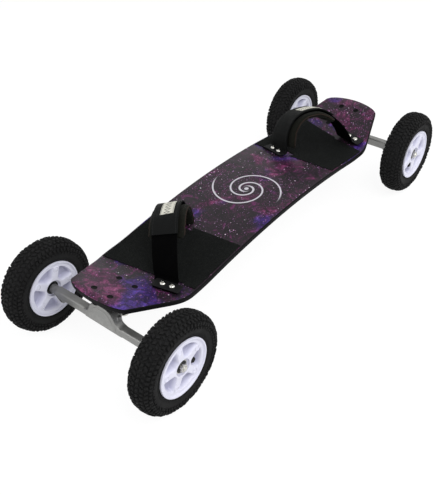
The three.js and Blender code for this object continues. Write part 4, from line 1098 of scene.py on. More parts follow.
@dataclass(frozen=True)
class DeckShape:
    """The deck's plan and side view, the same curves as its solid has."""

    length: float = 922.0
    width: float = 222.0
    thickness: float = 10.5
    edge: float = 2.4
    camber_radius: float = 1950.0
    camber_end: float = 250.0
    lowest: float = 312.0
    bend: float = 48.6
    tip_angle: float = 18.0
    taper_start: float = 325.6
    taper_blend: float = 18.0
    taper_share: float = 0.34
    nose: float = 21.0
    axle_x: float = 434.2
    axle_height: float = 100.0
    truck_rise: float = 60.6
    facets: tuple[tuple[float, float, int], ...] = (
        (0, 250.0, 3), (250.0, 312.0, 2), (312.0, 360.6, 4), (360.6, 440.0, 2),
    )

    @property
    def tip_slope(self) -> float:
        """The slope of the deck's ends."""
        return math.tan(math.radians(self.tip_angle))

    def rise(self, x: Any) -> Any:
        """How far the top lies above its middle.

        Args:
            x: Places along the deck.

        Returns:
            The rise at each place.
        """
        reach = np.abs(np.asarray(x, dtype=float))
        slopes = [
            (0.0, 0.0), (self.camber_end, -self.camber_end / self.camber_radius), (self.lowest, 0.0),
            (self.lowest + self.bend, self.tip_slope), (self.length, self.tip_slope),
        ]
        total = np.zeros_like(reach)
        for (start, first), (end, last) in zip(slopes, slopes[1:]):
            share = np.clip((reach - start) / (end - start), 0.0, 1.0)
            total += share * (end - start) * (first + share * (last - first) / 2)
        return total

    def top(self, x: Any) -> Any:
        """Height of the deck's top."""
        return self.axle_height + self.truck_rise + self.thickness - self.rise(self.axle_x) + self.rise(x)

    def faceted_top(self, x: Any) -> Any:
        """Height of the solid's top, which is straight between its cross-sections.

        Args:
            x: Places along the deck.

        Returns:
            The height at each place.
        """
        places = [low + (high - low) * i / steps for low, high, steps in self.facets for i in range(steps)]
        stations = both_ways(places + [self.length / 2 - self.nose])
        return np.interp(x, stations, self.top(stations))

    def half_width(self, x: float) -> float:
        """Half the deck's width.

        Args:
            x: A place along the deck.

        Returns:
            The half width there.
        """
        past = abs(x) - self.taper_start
        blend = min(1.0, max(0.0, (past + self.taper_blend) / (2 * self.taper_blend)))
        tapered = past if past > self.taper_blend else self.taper_blend * blend * blend
        nose = min(1.0, max(0.0, (abs(x) - self.length / 2 + self.nose) / self.nose))
        return (self.width / 2 - self.taper_share * tapered) * math.sqrt(1 - nose * nose)


def both_ways(places: Sequence[float]) -> Array:
    """Places from 0 on, with their mirror images before them."""
    return np.array([-p for p in reversed(places[1:])] + list(places))


@dataclass
class Deck:
    """The printed board and its two grip sheets."""

    shape: DeckShape = field(default_factory=DeckShape)
    station_step: float = 6.0
    nose_steps: int = 14
    edge_steps: int = 5

    def build(self) -> list[Piece]:
        """Builds and dresses the deck, and gives its grip sheets their finish.

        Returns:
            The deck and the grip sheets.
        """
        draft = Draft()
        rows = self.sections()
        columns = rows.shape[1]
        finish = [0 if self.edge_steps <= j < columns // 2 - self.edge_steps else 1 for j in range(columns)]
        draft.grid(rows, finish=finish)
        board = draft.build("deck_board", [PRINT, LACQUER], smooth=50)
        settled(board, "deck", "deck")
        return [board] + [dress_node(f"grip_pad_{end.label}", GRIP) for end in End]

    def sections(self) -> Array:
        """Cross-sections from tail to nose.

        Returns:
            Points by section, each from the left edge over the top and back below.
        """
        shape = self.shape
        straight = shape.length / 2 - shape.nose
        places = list(np.arange(0.0, straight, self.station_step))
        turns = np.linspace(0.0, math.pi / 2, self.nose_steps)
        places += [straight + shape.nose * math.sin(turn) for turn in turns]
        rows = []
        for x in both_ways(places):
            half = shape.half_width(x)
            section = bar_section(shape.thickness / 2, half, min(shape.edge, half / 2), self.edge_steps)
            rows.append([(x, y, float(shape.top(x)) - shape.thickness / 2 + z) for y, z in section])
        return np.array(rows)


# ---------------------------------------------------------------- wheels


class KnobRow(NamedTuple):
    """A row of tread blocks: its place from the middle, and the blocks' half sizes, height and skew."""

    place: float
    across: float
    around: float
    height: float
    skew: float
    count: int = 62


@dataclass
class Tyre:
    """A pneumatic tyre with rows of small blocks; it lies round Y and its middle is y = 0."""

    radius: float = 100.0
    columns: int = 168
    section: Profile = (
        (96.6, 0.0), (96.2, 6.0), (94.9, 12.0), (92.2, 17.4), (88.0, 21.4), (82.5, 23.6), (75.5, 24.4),
        (68.0, 23.5), (62.5, 21.6), (59.9, 20.3),
    )
    beads: Profile = (
        (59.6, 19.6), (55.0, 19.0), (51.0, 18.6), (51.0, 14.0), (60.0, 18.0), (75.0, 20.0), (90.0, 14.0),
        (92.0, 0.0),
    )
    ridges: tuple[float, ...] = (64.5, 66.3, 78.6)
    ridge: Profile = ((-0.7, -0.3), (-0.25, 0.45), (0.25, 0.45), (0.7, -0.3))
    knob_rows: tuple[KnobRow, ...] = (
        KnobRow(4.4, 3.2, 2.8, 3.4, 1.6), KnobRow(12.6, 3.1, 2.7, 3.4, -1.4),
        KnobRow(20.2, 2.9, 2.8, 3.6, 0.9), KnobRow(27.6, 3.1, 2.7, 3.6, -0.4),
        KnobRow(34.2, 2.1, 2.2, 2.4, 0.0),
    )

    def curve(self) -> tuple[Array, Array]:
        """Half of the outside section, from its middle.

        Returns:
            Closely spaced points as [radius, y], and their distance along it.
        """
        points = np.array(self.section)
        mirror = np.vstack([points[:0:-1] * [1, -1], points])
        lengths = lengths_along(mirror)
        fine = np.linspace(0, lengths[-1], 181)
        half = np.stack([catmull(lengths, mirror[:, k], fine)[90:] for k in (0, 1)], axis=1)
        return half, fine[90:] - fine[90]

    def mesh(self) -> Draft:
        """The tyre's skin, its beads, its knobs and the moulded lines on its sidewalls.

        Returns:
            Its mesh.
        """
        draft = Draft()
        half, reach = self.curve()
        beads = list(self.beads)
        inside = np.array(beads + [(r, -y) for r, y in beads[-2::-1]])
        angles = round_angles(self.columns)
        closed = np.vstack([half[:0:-2] * [1, -1], half[::2], inside])
        draft.grid(np.array([round_y(r, y, angles) for r, y in closed]), wrap_rows=True)
        for index, row in enumerate(self.knob_rows):
            for side in (-1, 1):
                self.add_knobs(draft, half, reach, row, side, 0.5 * (index % 2))
        widest = half[:, 1].argmax()
        for radius in self.ridges:
            wall = half[widest:] if radius < 75 else half[: widest + 1]
            order = wall[wall[:, 0].argsort()]
            y = float(np.interp(radius, order[:, 0], order[:, 1]))
            for side in (-1, 1):
                rows = [round_y(radius + out, side * (y + up), angles) for out, up in self.ridge]
                draft.grid(np.array(rows))
        return draft

    def add_knobs(
        self, draft: Draft, half: Array, reach: Array, row: KnobRow, side: int, phase: float,
    ) -> None:
        """Adds one row of blocks.

        Args:
            draft: The mesh that gets them.
            half: The outside section.
            reach: Distances along it.
            row: The row.
            side: Which side of the middle the row is on.
            phase: How far the row is turned, as a share of its pitch.
        """
        centre, ahead = (
            np.array([np.interp(row.place + step, reach, half[:, k]) for k in (0, 1)]) for step in (0, 1)
        )
        tangent = unit(ahead - centre)
        normal = np.array([tangent[1], -tangent[0]])
        peak = min(row.height, self.radius - centre[0]) if row.place < 6 else row.height
        levels = ((-0.6, 1.1, 1.1, 0.0), (peak - 0.7, 0.94, 0.92, 1.0), (peak, 0.72, 0.66, 1.0))
        corners = np.array([(-1, -1), (1, -1), (1, 1), (-1, 1)], dtype=float)
        wobble = np.random.default_rng(7 + int(row.place) + (40 if side > 0 else 0))
        for k in range(row.count):
            angle = 2 * math.pi * (k + phase + 0.12 * wobble.uniform(-1, 1)) / row.count
            stretch, bent = 1 + 0.22 * wobble.uniform(-1, 1), row.skew + 1.1 * wobble.uniform(-1, 1)
            lowered, moved = 0.9 * wobble.uniform(0, 1) ** 2, 0.5 * wobble.uniform(-1, 1)
            rings = []
            for lift, wide, long, upper in levels:
                t = corners[:, 0] * row.across * wide + moved
                c = (corners[:, 1] * row.around * long * stretch + corners[:, 0] * bent)
                r, y = (centre[i] + tangent[i] * t + normal[i] * (lift - lowered * upper) for i in (0, 1))
                rings.append(round_y(r, side * y, angle + c / r))
            draft.grid(np.array(rings))
            draft.close(rings[-1], True)


@dataclass
class Hub:
    """A bolted two-piece hub; the outer half's face looks to +Y, and the valve lies at +X.

    The profiles give radius and height of each ring, counted from the face.
    """

    half_width: float = 24.7
    flange_radius: float = 59.3
    flange: float = 4.1
    seat_radius: float = 50.0
    lip_depth: float = 3.2
    recess_radius: float = 17.0
    recess_depth: float = 7.6
    pockets: int = 5
    pocket_inner: float = 21.0
    pocket_outer: float = 48.0
    pocket_depth: float = 12.0
    pocket_blend: float = 5.0
    rib: float = 15.0
    bolt_circle: float = 42.0
    columns: int = 360
    outer_boss: Profile = (
        (6.6, -3.0), (6.3, 0.3), (5.8, 0.9), (4.4, 0.9), (4.0, 0.4), (3.8, -1.8), (3.6, -2.3), (2.6, -2.5),
        (0.01, -2.6),
    )
    inner_boss: Profile = ((7.2, -3.0), (6.9, 0.2), (6.3, 0.9), (5.2, 0.9), (4.7, 0.4))
    bolt_hole: Profile = ((4.7, 0.4), (4.5, -3.2), (3.9, -3.4))
    bolt_head: Profile = ((3.9, -3.3), (3.9, -1.4), (3.3, -0.8), (2.0, -0.8), (1.9, -2.4, 6), (0.01, -2.5))

    def face_height(self, radius: float, angle: Array) -> Array:
        """Height of a half's face: ribs, pockets and soft corners between them.

        Args:
            radius: The radius of a ring on it.
            angle: Angles round the ring.

        Returns:
            The height at each angle.
        """
        pitch = 2 * math.pi / self.pockets
        from_rib = pitch / 2 - np.abs((angle + pitch / 2) % pitch - pitch / 2)
        beside = radius * np.sin(np.clip(from_rib, 0, math.pi / 2)) - self.rib / 2
        ends = min(radius - self.pocket_inner, self.pocket_outer - radius)
        soft = self.pocket_blend / 3
        edge = -np.log(sum(np.exp(-np.clip(gap, -20, 40) / soft) for gap in (beside, ends))) * soft
        return self.half_width - self.lip_depth - self.pocket_depth * smooth_share(edge, -1.2, 4.6)

    def face_rows(self) -> Array:
        """Rings of the face from the bearing's recess out to the lip and round the flange.

        Returns:
            Points by ring.
        """
        rim, edge = self.half_width, self.flange_radius
        face, bearing, flange = rim - self.lip_depth, rim - self.recess_depth, rim - self.flange
        recess = self.recess_radius
        angles = round_angles(self.columns)
        rings: list[tuple[Any, Any]] = [
            (8.0, 0.2), (8.0, bearing - 8.3), (14.2, bearing - 8.3), (14.2, bearing),
            (recess - 0.6, bearing), (recess, bearing + 0.6), (recess, face - 0.8), (recess + 0.8, face),
        ]
        rings += [(r, self.face_height(r, angles)) for r in np.arange(18.8, 53.9, 0.7)]
        rings += [
            (54.4, face + 0.1), (55.2, face + 0.9), (55.9, face + 2.2), (56.6, rim - 0.25), (57.3, rim),
            (58.4, rim), (59.05, rim - 0.3), (edge, rim - 1.0), (edge, flange + 0.5), (edge - 0.5, flange),
            (self.seat_radius, flange), (self.seat_radius, 0.2),
        ]
        return np.array([round_y(r, h, angles) for r, h in rings])

    def mesh(self, outer: bool) -> Draft:
        """One half of the hub, with a boss for each bolt on its ribs.

        Args:
            outer: Whether it is the outer half, whose bolts end in round bosses.

        Returns:
            Its mesh: the nylon first, the bolt holes' near-black walls second, which are painted shade, and
                steel third.
        """
        draft = Draft()
        draft.grid(self.face_rows(), wrap_rows=True)
        turns = round_angles(self.pockets) + math.pi / self.pockets
        for place in round_y(self.bolt_circle, self.half_width - self.lip_depth, turns):
            # On the inner half the bolt hole's wall takes the second finish, a painted shade.
            profiles = (self.outer_boss,) if outer else (self.inner_boss, self.bolt_hole, self.bolt_head)
            for finish, profile in enumerate(profiles):
                draft.rod(profile, UP_Y, place, 30, finish)
        return draft


@dataclass
class Bearing:
    """A sealed ball bearing whose outer face looks to +Y. Its profiles are counted from that face."""

    face: float = 17.1
    steel: Profile = ((4.9, -8.0), (14.0, -8.0), (14.0, -0.4), (13.7, 0.0), (12.4, 0.0), (12.2, -0.5))
    seal: Profile = ((12.2, -0.5), (11.6, -0.35), (8.0, -0.35), (7.4, -0.6))
    inner: Profile = ((7.4, -0.6), (7.3, 0.0), (5.3, 0.0), (4.9, -0.4), (4.9, -8.0))

    def mesh(self) -> Draft:
        """Outer ring, dark seal and inner ring.

        Returns:
            The bearing's mesh, with steel first and the seal second.
        """
        draft = Draft()
        for profile, finish in ((self.steel, 0), (self.seal, 1), (self.inner, 0)):
            draft.rod(profile, UP_Y, UP_Y * self.face, 48, finish)
        return draft


@dataclass
class Wheel:
    """A tyre on its hub with bearings, tube and valve."""

    end: End
    side: Side
    roll: float
    deck: DeckShape
    centre_y: float = 169.8
    valve_radius: float = 28.0
    shared: dict[str, bpy.types.Mesh] = field(default_factory=dict)
    tube_ring: Profile = (
        (62.0, -15.0), (75.0, -18.5), (88.0, -12.0), (90.0, 0.0), (88.0, 12.0), (75.0, 18.5), (62.0, 15.0),
        (56.0, 0.0),
    )
    stem: Profile = ((3.3, 2.0), (3.3, 13.5), (3.5, 13.6), (3.5, 14.2))
    cap: Profile = ((5.2, 14.0), (5.4, 14.4), (5.2, 20.0), (4.6, 20.8), (3.2, 21.1), (0.01, 21.1))
    cap_rib: Profile = ((0.01, 14.3), (0.5, 14.6), (0.5, 19.4), (0.01, 19.8))
    cap_ribs: int = 10

    def build(self) -> list[Piece]:
        """Builds the wheel's pieces.

        Returns:
            The pieces made.
        """
        name = f"{self.end.label}_{self.side.label}"
        sign = self.side.value
        half_turn = Matrix.Rotation(math.pi, 4, "Z")
        place = Vector((self.end.value * self.deck.axle_x, sign * self.centre_y, self.deck.axle_height)) * MM
        outward = Matrix.Translation(place) @ (Matrix.Identity(4) if sign > 0 else half_turn)
        turn = math.radians(self.roll if sign > 0 else 180 - self.roll)
        rolled = outward @ Matrix.Rotation(-turn, 4, "Y")
        inward = rolled @ Matrix.Rotation(math.pi, 4, "X")
        hub, bearing = Hub(), Bearing()
        # The hubs' second finish paints the walls of the inner half's bolt holes near-black as shade.
        outer_kinds, inner_kinds = [NYLON, SEAL_AND_HOLE_SHADE, ZINC], [NYLON, SEAL_AND_HOLE_SHADE, BLACK_STEEL_AND_SHADE]
        plan: list[tuple[str, str, Callable[[], Draft], list[Finish], Matrix, str]] = [
            ("tyre", "tyre", Tyre().mesh, [RUBBER], outward, "tyre_rubber"),
            ("hub_outer", "outer half", lambda: hub.mesh(True), outer_kinds, rolled, "white_nylon"),
            ("hub_inner", "inner half", lambda: hub.mesh(False), inner_kinds, inward, "white_nylon"),
            ("bearing_outer", "bearing", bearing.mesh, [ZINC, SEAL_AND_HOLE_SHADE], outward, "bright_steel"),
            # The inner bearing copies the outer one in near-black steel: painted shade in the hub's inner
            # recess under the hanger.
            ("bearing_inner", "dark", bearing.mesh, [BLACK_STEEL_AND_SHADE, SEAL_AND_HOLE_SHADE], outward @ half_turn, "bright_steel"),
            ("inner_tube", name, lambda: self.tube(turn), [TUBE], outward, "tube_rubber"),
        ]
        pieces = []
        for word, shape, make, finishes, matrix, slot in plan:
            node = f"{word}_{name}"
            if shape in self.shared:
                piece = placed(node + "_look", self.shared[shape], finishes, matrix)
            else:
                piece = make().build(node + "_look", finishes, matrix, smooth=38)
                self.shared[shape] = piece.data
            pieces.append(settled(piece, f"wheel_{name}", node))
        return pieces

    def tube(self, turn: float) -> Draft:
        """The tube's ring inside the tyre, and the valve stem with its ribbed cap.

        Args:
            turn: The wheel's turn, which the valve stands at.

        Returns:
            Their mesh.
        """
        draft = Draft()
        place = self.valve_radius * np.array([math.cos(turn), 0.0, math.sin(turn)])
        draft.grid(turned(self.tube_ring, UP_Y, MIDDLE, 60), wrap_rows=True)
        draft.rod(self.stem, UP_Y, place, 28)
        draft.rod(self.cap, UP_Y, place, 28)
        for rib in self.cap[0][0] * round_y(1.0, 0.0, round_angles(self.cap_ribs)):
            draft.rod(self.cap_rib, UP_Y, place + rib, 8)
        return draft


# ---------------------------------------------------------------- trucks


@dataclass
class Truck:
    """Baseplate, kingpin stack, hanger and axle.

    In its own frame x is outboard and z up from the axle's middle. The profiles give radius and
    height of each ring, and 6 where it is a hexagon. Washers, bushings and the lock nut are placed
    by their heights on the kingpin's line, from the hanger's ring.
    """

    end: End
    deck: DeckShape
    steer_angle: float = 45.0
    kingpin_lean: float = 8.0
    pivot_setback: float = 6.2
    pivot_depth: float = 12.6
    pivot_span: float = 52.0
    plate_setback: float = 29.7
    plate_size: tuple[float, float, float] = (84.0, 58.0, 9.0)
    plate_thickness: float = 6.0
    bolt_out: float = 31.75
    bolt_aside: float = 20.65
    hanger_half: float = 152.4
    bar_half_height: float = 10.0
    bar_half_depth: float = 8.5
    lobe_y: float = 121.0
    lobe_half: float = 13.0
    lobe_drop: float = 8.0
    ring_radius: float = 17.0
    ring_face: float = 6.0
    gap: float = 0.3
    collar_radius: float = 13.0
    collar_bore: float = 5.3
    washers: tuple[tuple[float, float], ...] = ((20.6, 22.2), (-19.2, -17.6))
    bushing_ends: tuple[float, float] = (20.3, -17.3)
    bushing_hold: float = 1.5
    bushing_waist: float = 2.0
    neck: float = 8.0
    neck_foot: float = 15.3
    neck_mouth: float = 8.3
    bell_foot: float = 48.0
    bell_shoulder: tuple[float, float] = (33.0, 25.0)
    bell_top: float = 43.0
    bell_rise: float = 1.5
    web_back: float = -9.0
    web_start: tuple[float, float, float] = (36.0, -8.0, 26.0)
    web_middle: float = 22.0
    pin: tuple[float, float, float] = (4.8, -12.0, 1.7)
    kingpin_hole: float = 6.8
    lobe_hole: float = 2.8
    lobe_hole_z: float = -11.5
    panel_share: float = 0.74
    panel_rise: float = 2.1
    voxel: float = 1.15
    axle_end: float = 196.8
    axle_radius: float = 4.75
    kingpin_radius: float = 4.75
    nut_start: float = 187.2
    lock_nut: float = -19.5
    seat: Profile = ((5.4, 22.5), (12.0, 22.5), (13.4, 23.6), (14.0, 25.0), (14.4, 40.0))
    housing: Profile = ((7.7, -8.0), (10.2, -8.0), (11.0, -7.2), (11.6, 12.0), (11.8, 26.0))
    bolt_head: Profile = ((6.3, -0.5), (6.1, 0.0), (2.9, 0.0), (2.8, -0.1, 6), (0.01, -0.12))
    bolt_washer: Profile = ((6.3, 0.0), (6.3, -0.8), (5.0, -0.8))
    bolt_nut: Profile = (
        (4.6, -0.8), (5.2, -1.3, 6), (5.2, -4.2, 6), (4.4, -4.8), (3.3, -5.0), (2.6, -5.6), (2.4, -5.6),
    )
    bolt_end: Profile = ((2.4, -5.5), (2.4, -7.6), (1.9, -8.0), (0.01, -8.0))
    kingpin_nut: Profile = (
        (4.8, 0.0), (8.0, 0.0), (8.9, -0.9, 6), (8.9, -6.2, 6), (8.0, -7.0), (6.4, -7.2), (6.2, -8.0),
        (4.8, -8.0),
    )
    axle_nut: Profile = (
        (4.9, 0.0), (7.3, 0.0), (8.2, 0.8, 6), (8.2, 6.2, 6), (7.4, 7.0), (6.2, 7.2), (5.9, 8.2), (4.9, 8.2),
    )

    def __post_init__(self) -> None:
        """Works out the places of the pivot, kingpin ring and plate."""
        degrees = (self.steer_angle, self.kingpin_lean, self.deck.tip_angle)
        steer, lean, tip = (math.radians(angle) for angle in degrees)
        self.steer = np.array([math.cos(steer), 0.0, math.sin(steer)])
        self.kingpin = np.array([math.sin(lean), 0.0, math.cos(lean)])
        self.plate_out = np.array([math.cos(tip), 0.0, math.sin(tip)])
        self.plate_up = np.array([-math.sin(tip), 0.0, math.cos(tip)])
        setback = -self.pivot_setback
        self.pivot = np.array([setback, 0.0, self.under_deck(setback) - self.pivot_depth])
        self.ring = self.pivot - self.steer * self.pivot_span
        self.plate = np.array([-self.plate_setback, 0.0, self.under_deck(-self.plate_setback)])
        turn = Matrix.Identity(4) if self.end is End.FRONT else Matrix.Rotation(math.pi, 4, "Z")
        place = Vector((self.end.value * self.deck.axle_x, 0.0, self.deck.axle_height)) * MM
        self.matrix = Matrix.Translation(place) @ turn

    def under_deck(self, x: float) -> float:
        """Height of the deck's underside above the axle at a place along it."""
        return self.deck.truck_rise + self.deck.tip_slope * x

    def build(self) -> list[Piece]:
        """Builds the truck's pieces.

        Returns:
            The pieces made, and the pivot cup.
        """
        end = self.end.label
        truck, board = f"truck_{end}", "deck"
        # The baseplate's near-black casting is partly painted shade for the dark under the deck's tip.
        cast, steel, near = [BLACK_CAST_AND_SHADE, BLACK_STEEL_AND_SHADE, BLACK_OXIDE], [ZINC], self.ring_face + self.gap
        pieces = [
            self.made(self.plate_mesh(), f"baseplate_{end}", cast, board, "black_casting"),
            self.made(self.kingpin_mesh(), f"kingpin_{end}", steel, board, "bright_steel"),
        ]
        words = (f"boardside_{end}", f"roadside_{end}")
        for word, span in zip(words, self.washers):
            pieces.append(self.made(self.collar(*span, 0.0), f"washer_{word}", steel, board, "bright_steel"))
        for word, start, stop in zip(words, (near, -near), self.bushing_ends):
            pieces.append(self.bushing(f"bushing_{word}", start, stop))
        pieces += [
            dress_node(f"pivot_cup_{end}", URETHANE),
            *self.hanger_pieces(truck),
            self.made(self.axle_mesh(), f"axle_{end}", steel, truck, "bright_steel"),
        ]
        for side in Side:
            nut, out = Draft(), UP_Y * (side.value * self.end.value)
            nut.grid(turned(self.axle_nut, out, out * self.nut_start), wrap_rows=True)
            pieces.append(self.made(nut, f"axle_nut_{end}_{side.label}", steel, truck, "bright_steel"))
        return pieces

    def made(self, draft: Draft, node: str, finishes: Sequence[Finish], body: str, slot: str) -> Piece:
        """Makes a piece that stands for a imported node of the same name."""
        return settled(draft.build(node + "_look", finishes, self.matrix, smooth=35), body, node)

    def bushing(self, node: str, near: float, far: float) -> Piece:
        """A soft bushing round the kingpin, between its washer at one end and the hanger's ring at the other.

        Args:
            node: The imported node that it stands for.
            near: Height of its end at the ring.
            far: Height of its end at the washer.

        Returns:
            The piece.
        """
        collar = self.collar(min(near, far), max(near, far), self.bushing_waist)
        piece = collar.build(node + "_look", [URETHANE], self.matrix, smooth=35)
        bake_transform(piece)
        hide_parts(node)
        return piece

    def collar(self, low: float, high: float, waist: float) -> Draft:
        """A washer, or a bushing with a drawn-in waist, round the kingpin.

        Args:
            low: Height of its lower end.
            high: Height of its upper end.
            waist: How far the waist is drawn in, or 0 for a washer.

        Returns:
            Its mesh.
        """
        draft = Draft()
        radius, bore, edge = self.collar_radius, self.collar_bore, min(0.9, (high - low) / 4)
        rings = [(bore, low), (radius - edge, low), (radius, low + edge)]
        for share in np.linspace(0.15, 0.85, 9) if waist else ():
            rings.append((radius - waist * math.sin(math.pi * share) ** 1.5, low + share * (high - low)))
        rings += [(radius, high - edge), (radius - edge, high), (bore, high)]
        draft.grid(turned(rings, self.kingpin, self.ring, 48), wrap_rows=True)
        return draft

    def kingpin_mesh(self) -> Draft:
        """The kingpin with its lock nut, chamfered, and a ring of exposed thread.

        Returns:
            Its mesh.
        """
        draft = Draft()
        top = float((self.plate - self.ring) @ self.plate_up / (self.kingpin @ self.plate_up)) - 4.0
        nut, shank = self.lock_nut, self.kingpin_radius
        thread = [(4.3 if k % 2 == 0 else shank, nut - 8.0 - 0.5 * k) for k in range(5, 0, -1)]
        rings = [(0.01, nut - 11.0), (4.0, nut - 11.0)] + thread + [(shank, nut - 7.9)]
        rings += [(shank, top - 4.0), (7.4, top - 4.0), (7.4, top), (0.01, top)]
        draft.rod(rings, self.kingpin, self.ring)
        draft.grid(turned(self.kingpin_nut, self.kingpin, self.ring + self.kingpin * nut), wrap_rows=True)
        return draft

    def plate_mesh(self) -> Draft:
        """The cast plate with its kingpin seat, pivot housing, bolt heads and nuts.

        Returns:
            Its mesh, with the casting first, black steel second and the bolt heads third.
        """
        draft = Draft()
        top, bottom = -self.gap, -self.gap - self.plate_thickness
        levels = ((top, 0.6), (top - 0.6, 0.0), (bottom + 1.2, 0.0), (bottom, 1.2))
        draft.body(plate_rows(self.plate_size, levels, (self.plate, self.plate_out, UP_Y, self.plate_up), 6))
        self.add_trimmed(draft, self.seat, self.kingpin, self.ring)
        self.add_trimmed(draft, self.housing, self.steer, self.pivot)
        head = self.plate_up * (self.deck.thickness * self.plate_up[2] + 0.25)
        under = self.plate_up * bottom
        for out in (-self.bolt_out, self.bolt_out):
            for side in (-self.bolt_aside, self.bolt_aside):
                place = self.plate + self.plate_out * out + UP_Y * side
                draft.rod(self.bolt_head, self.plate_up, place + head, 36, 2)
                for profile, columns in ((self.bolt_washer, 30), (self.bolt_nut, 36), (self.bolt_end, 24)):
                    draft.rod(profile, self.plate_up, place + under, columns, 1)
        return draft

    def add_trimmed(self, draft: Draft, rings: Profile, axis: Array, base: Array) -> None:
        """Adds a boss whose points stay under the plate's top face.

        Args:
            draft: The mesh that gets it.
            rings: The boss's profile.
            axis: Its axis.
            base: Where its heights are counted from.
        """
        rows = turned(rings, axis, base, 40)
        above = (rows - self.plate) @ self.plate_up + self.gap + 1.0
        lift = np.where(above > 0, above / float(axis @ self.plate_up), 0.0)
        draft.grid(rows - lift[..., None] * axis)

    def axle_mesh(self) -> Draft:
        """The axle with chamfered, threaded ends.

        Returns:
            Its mesh.
        """
        draft = Draft()
        radius, end = self.axle_radius, self.axle_end
        thread = [(radius if k % 2 else 4.35, 183.0 + k) for k in range(12)]
        half = [(radius, 0.0), (radius, 178.0)] + thread + [(4.0, end), (0.01, end)]
        draft.rod([(r, -h) for r, h in half[:0:-1]] + half, UP_Y, MIDDLE)
        return draft

    def hanger_pieces(self, body: str) -> list[Piece]:
        """The cast hanger, whose forms are melted into one skin with soft fillets, and its raised face panel.

        Args:
            body: The body that both ride on.

        Returns:
            The hanger and the panel.
        """
        draft = Draft()
        self.add_bar(draft)
        self.add_bell(draft, 1.0, self.web_back, self.bar_half_depth + self.bell_rise)
        self.add_web(draft)
        self.add_spine(draft)
        for radius, low, high, axis, base in (
            (self.ring_radius, -self.ring_face, self.ring_face, self.kingpin, self.ring),
            (self.neck, -self.neck_foot, -self.neck_mouth, self.steer, self.pivot),
            (*self.pin, self.steer, self.pivot),
        ):
            draft.rod([(0.01, low), (radius, low), (radius, high), (0.01, high)], axis, base, 48)
        hanger = draft.build(f"hanger_{self.end.label}_look", [CAST], smooth=60)
        modified(
            hanger,
            ("REMESH", {"mode": "VOXEL", "voxel_size": self.voxel * MM, "use_smooth_shade": True}),
            ("SMOOTH", {"factor": 0.5, "iterations": 7}),
        )
        self.bore(hanger)
        hanger.matrix_world = self.matrix
        face = Draft()
        self.add_bell(face, self.panel_share, self.bar_half_depth, self.bar_half_depth + self.panel_rise)
        panel = face.build(f"hanger_panel_{self.end.label}", [CAST], self.matrix, smooth=30)
        modified(panel, ("BEVEL", {"width": 0.5 * MM, "segments": 2, "limit_method": "ANGLE"}))
        settled(hanger, body, f"hanger_{self.end.label}")
        return [hanger, settled(panel, body)]

    def bore(self, piece: Piece) -> None:
        """Opens the kingpin's hole and the two lobe holes.

        Args:
            piece: The hanger, still in its own frame.
        """
        tool, out = Draft(), np.array([1.0, 0.0, 0.0])
        lobes = [np.array([0.0, side * self.lobe_y, self.lobe_hole_z]) for side in (-1, 1)]
        holes = [(self.kingpin_hole, self.kingpin, self.ring, 40)]
        for radius, axis, base, columns in holes + [(self.lobe_hole, out, lobe, 24) for lobe in lobes]:
            tool.rod([(0.01, -20.0), (radius, -20.0), (radius, 20.0), (0.01, 20.0)], axis, base, columns)
        cutter = tool.build("cutter", [CAST])
        modified(piece, ("BOOLEAN", {"operation": "DIFFERENCE", "object": cutter, "solver": "EXACT"}))
        bpy.data.objects.remove(cutter)
        piece.data.set_sharp_from_angle(angle=math.radians(50))

    def add_bar(self, draft: Draft) -> None:
        """The bar between the wheels, flat-sided with a hanging lobe near each round end.

        Args:
            draft: The mesh that gets it.
        """
        rows = []
        plain, shaped = np.arange(0.0, 100.0, 10.0), np.arange(100.0, 140.0, 2.0)
        for y in np.concatenate([plain, shaped, [140.0, 146.0, self.hanger_half]]):
            share = (y - self.lobe_y) / self.lobe_half
            drop = self.lobe_drop * math.cos(share * math.pi / 2) if abs(share) < 1 else 0.0
            round_end = float(smooth_share(y, 132.0, 137.0))
            height = self.bar_half_height + drop / 2 - 0.5 * round_end
            depth = self.bar_half_depth + 1.0 * round_end
            section = bar_section(height, depth, min(3.0 + 6.4 * round_end, height, depth))
            rows.append(np.insert(section - [0.0, drop / 2], 1, y, axis=1))
        draft.body(np.array([row * [1, -1, 1] for row in rows[:0:-1]] + rows))

    def add_bell(self, draft: Draft, scale: float, back: float, front: float) -> None:
        """The bell-shaped face, or a smaller panel of the same outline.

        Args:
            draft: The mesh that gets it.
            scale: The outline's size.
            back: Where it begins along x.
            front: Where it ends.
        """
        foot, low, high, shoulder = self.bar_half_height, self.bell_foot, self.bell_top, self.bell_shoulder
        curve = [(low, 1.5 - foot), (low, foot)]
        for points in (((low, foot), (38.0, foot), shoulder), (shoulder, (24.0, high), (12.0, high))):
            curve += [bezier(*points, t) for t in np.linspace(0.1, 1.0, 10)]
        outline = np.array(curve + [(-y, z) for y, z in curve[::-1]])
        centre = np.array([0.0, 12.0])
        outline = centre + (outline - centre) * scale
        rows = [np.column_stack([np.full(len(outline), x), outline]) for x in (back, front)]
        draft.body(np.array(rows), flat=True)

    def add_web(self, draft: Draft) -> None:
        """The web that narrows from the bar to the kingpin ring, with hollow sides.

        Args:
            draft: The mesh that gets it.
        """
        radius = self.ring_radius
        front, drop = self.ring[0] + radius, radius * self.kingpin[0]
        low, high = self.ring[2] - self.ring_face, self.ring[2] + self.ring_face - drop
        (half, bottom, top), back = self.web_start, self.web_back
        rows = np.array([
            (0.0, half, bottom, top), (back, half, bottom, top),
            ((front + back) / 2, self.web_middle, (low + bottom) / 2, (high + top) / 2),
            (front, radius, low, high), (self.ring[0] + radius / 2, radius / 2, low, high - drop),
        ])
        fine = np.linspace(0, len(rows) - 1, 25)
        steps = np.arange(len(rows), dtype=float)
        columns = (catmull(steps, v, fine) for v in rows.T)
        draft.body(np.array([[(a, h, b), (a, h, t), (a, -h, t), (a, -h, b)] for a, h, b, t in zip(*columns)]))

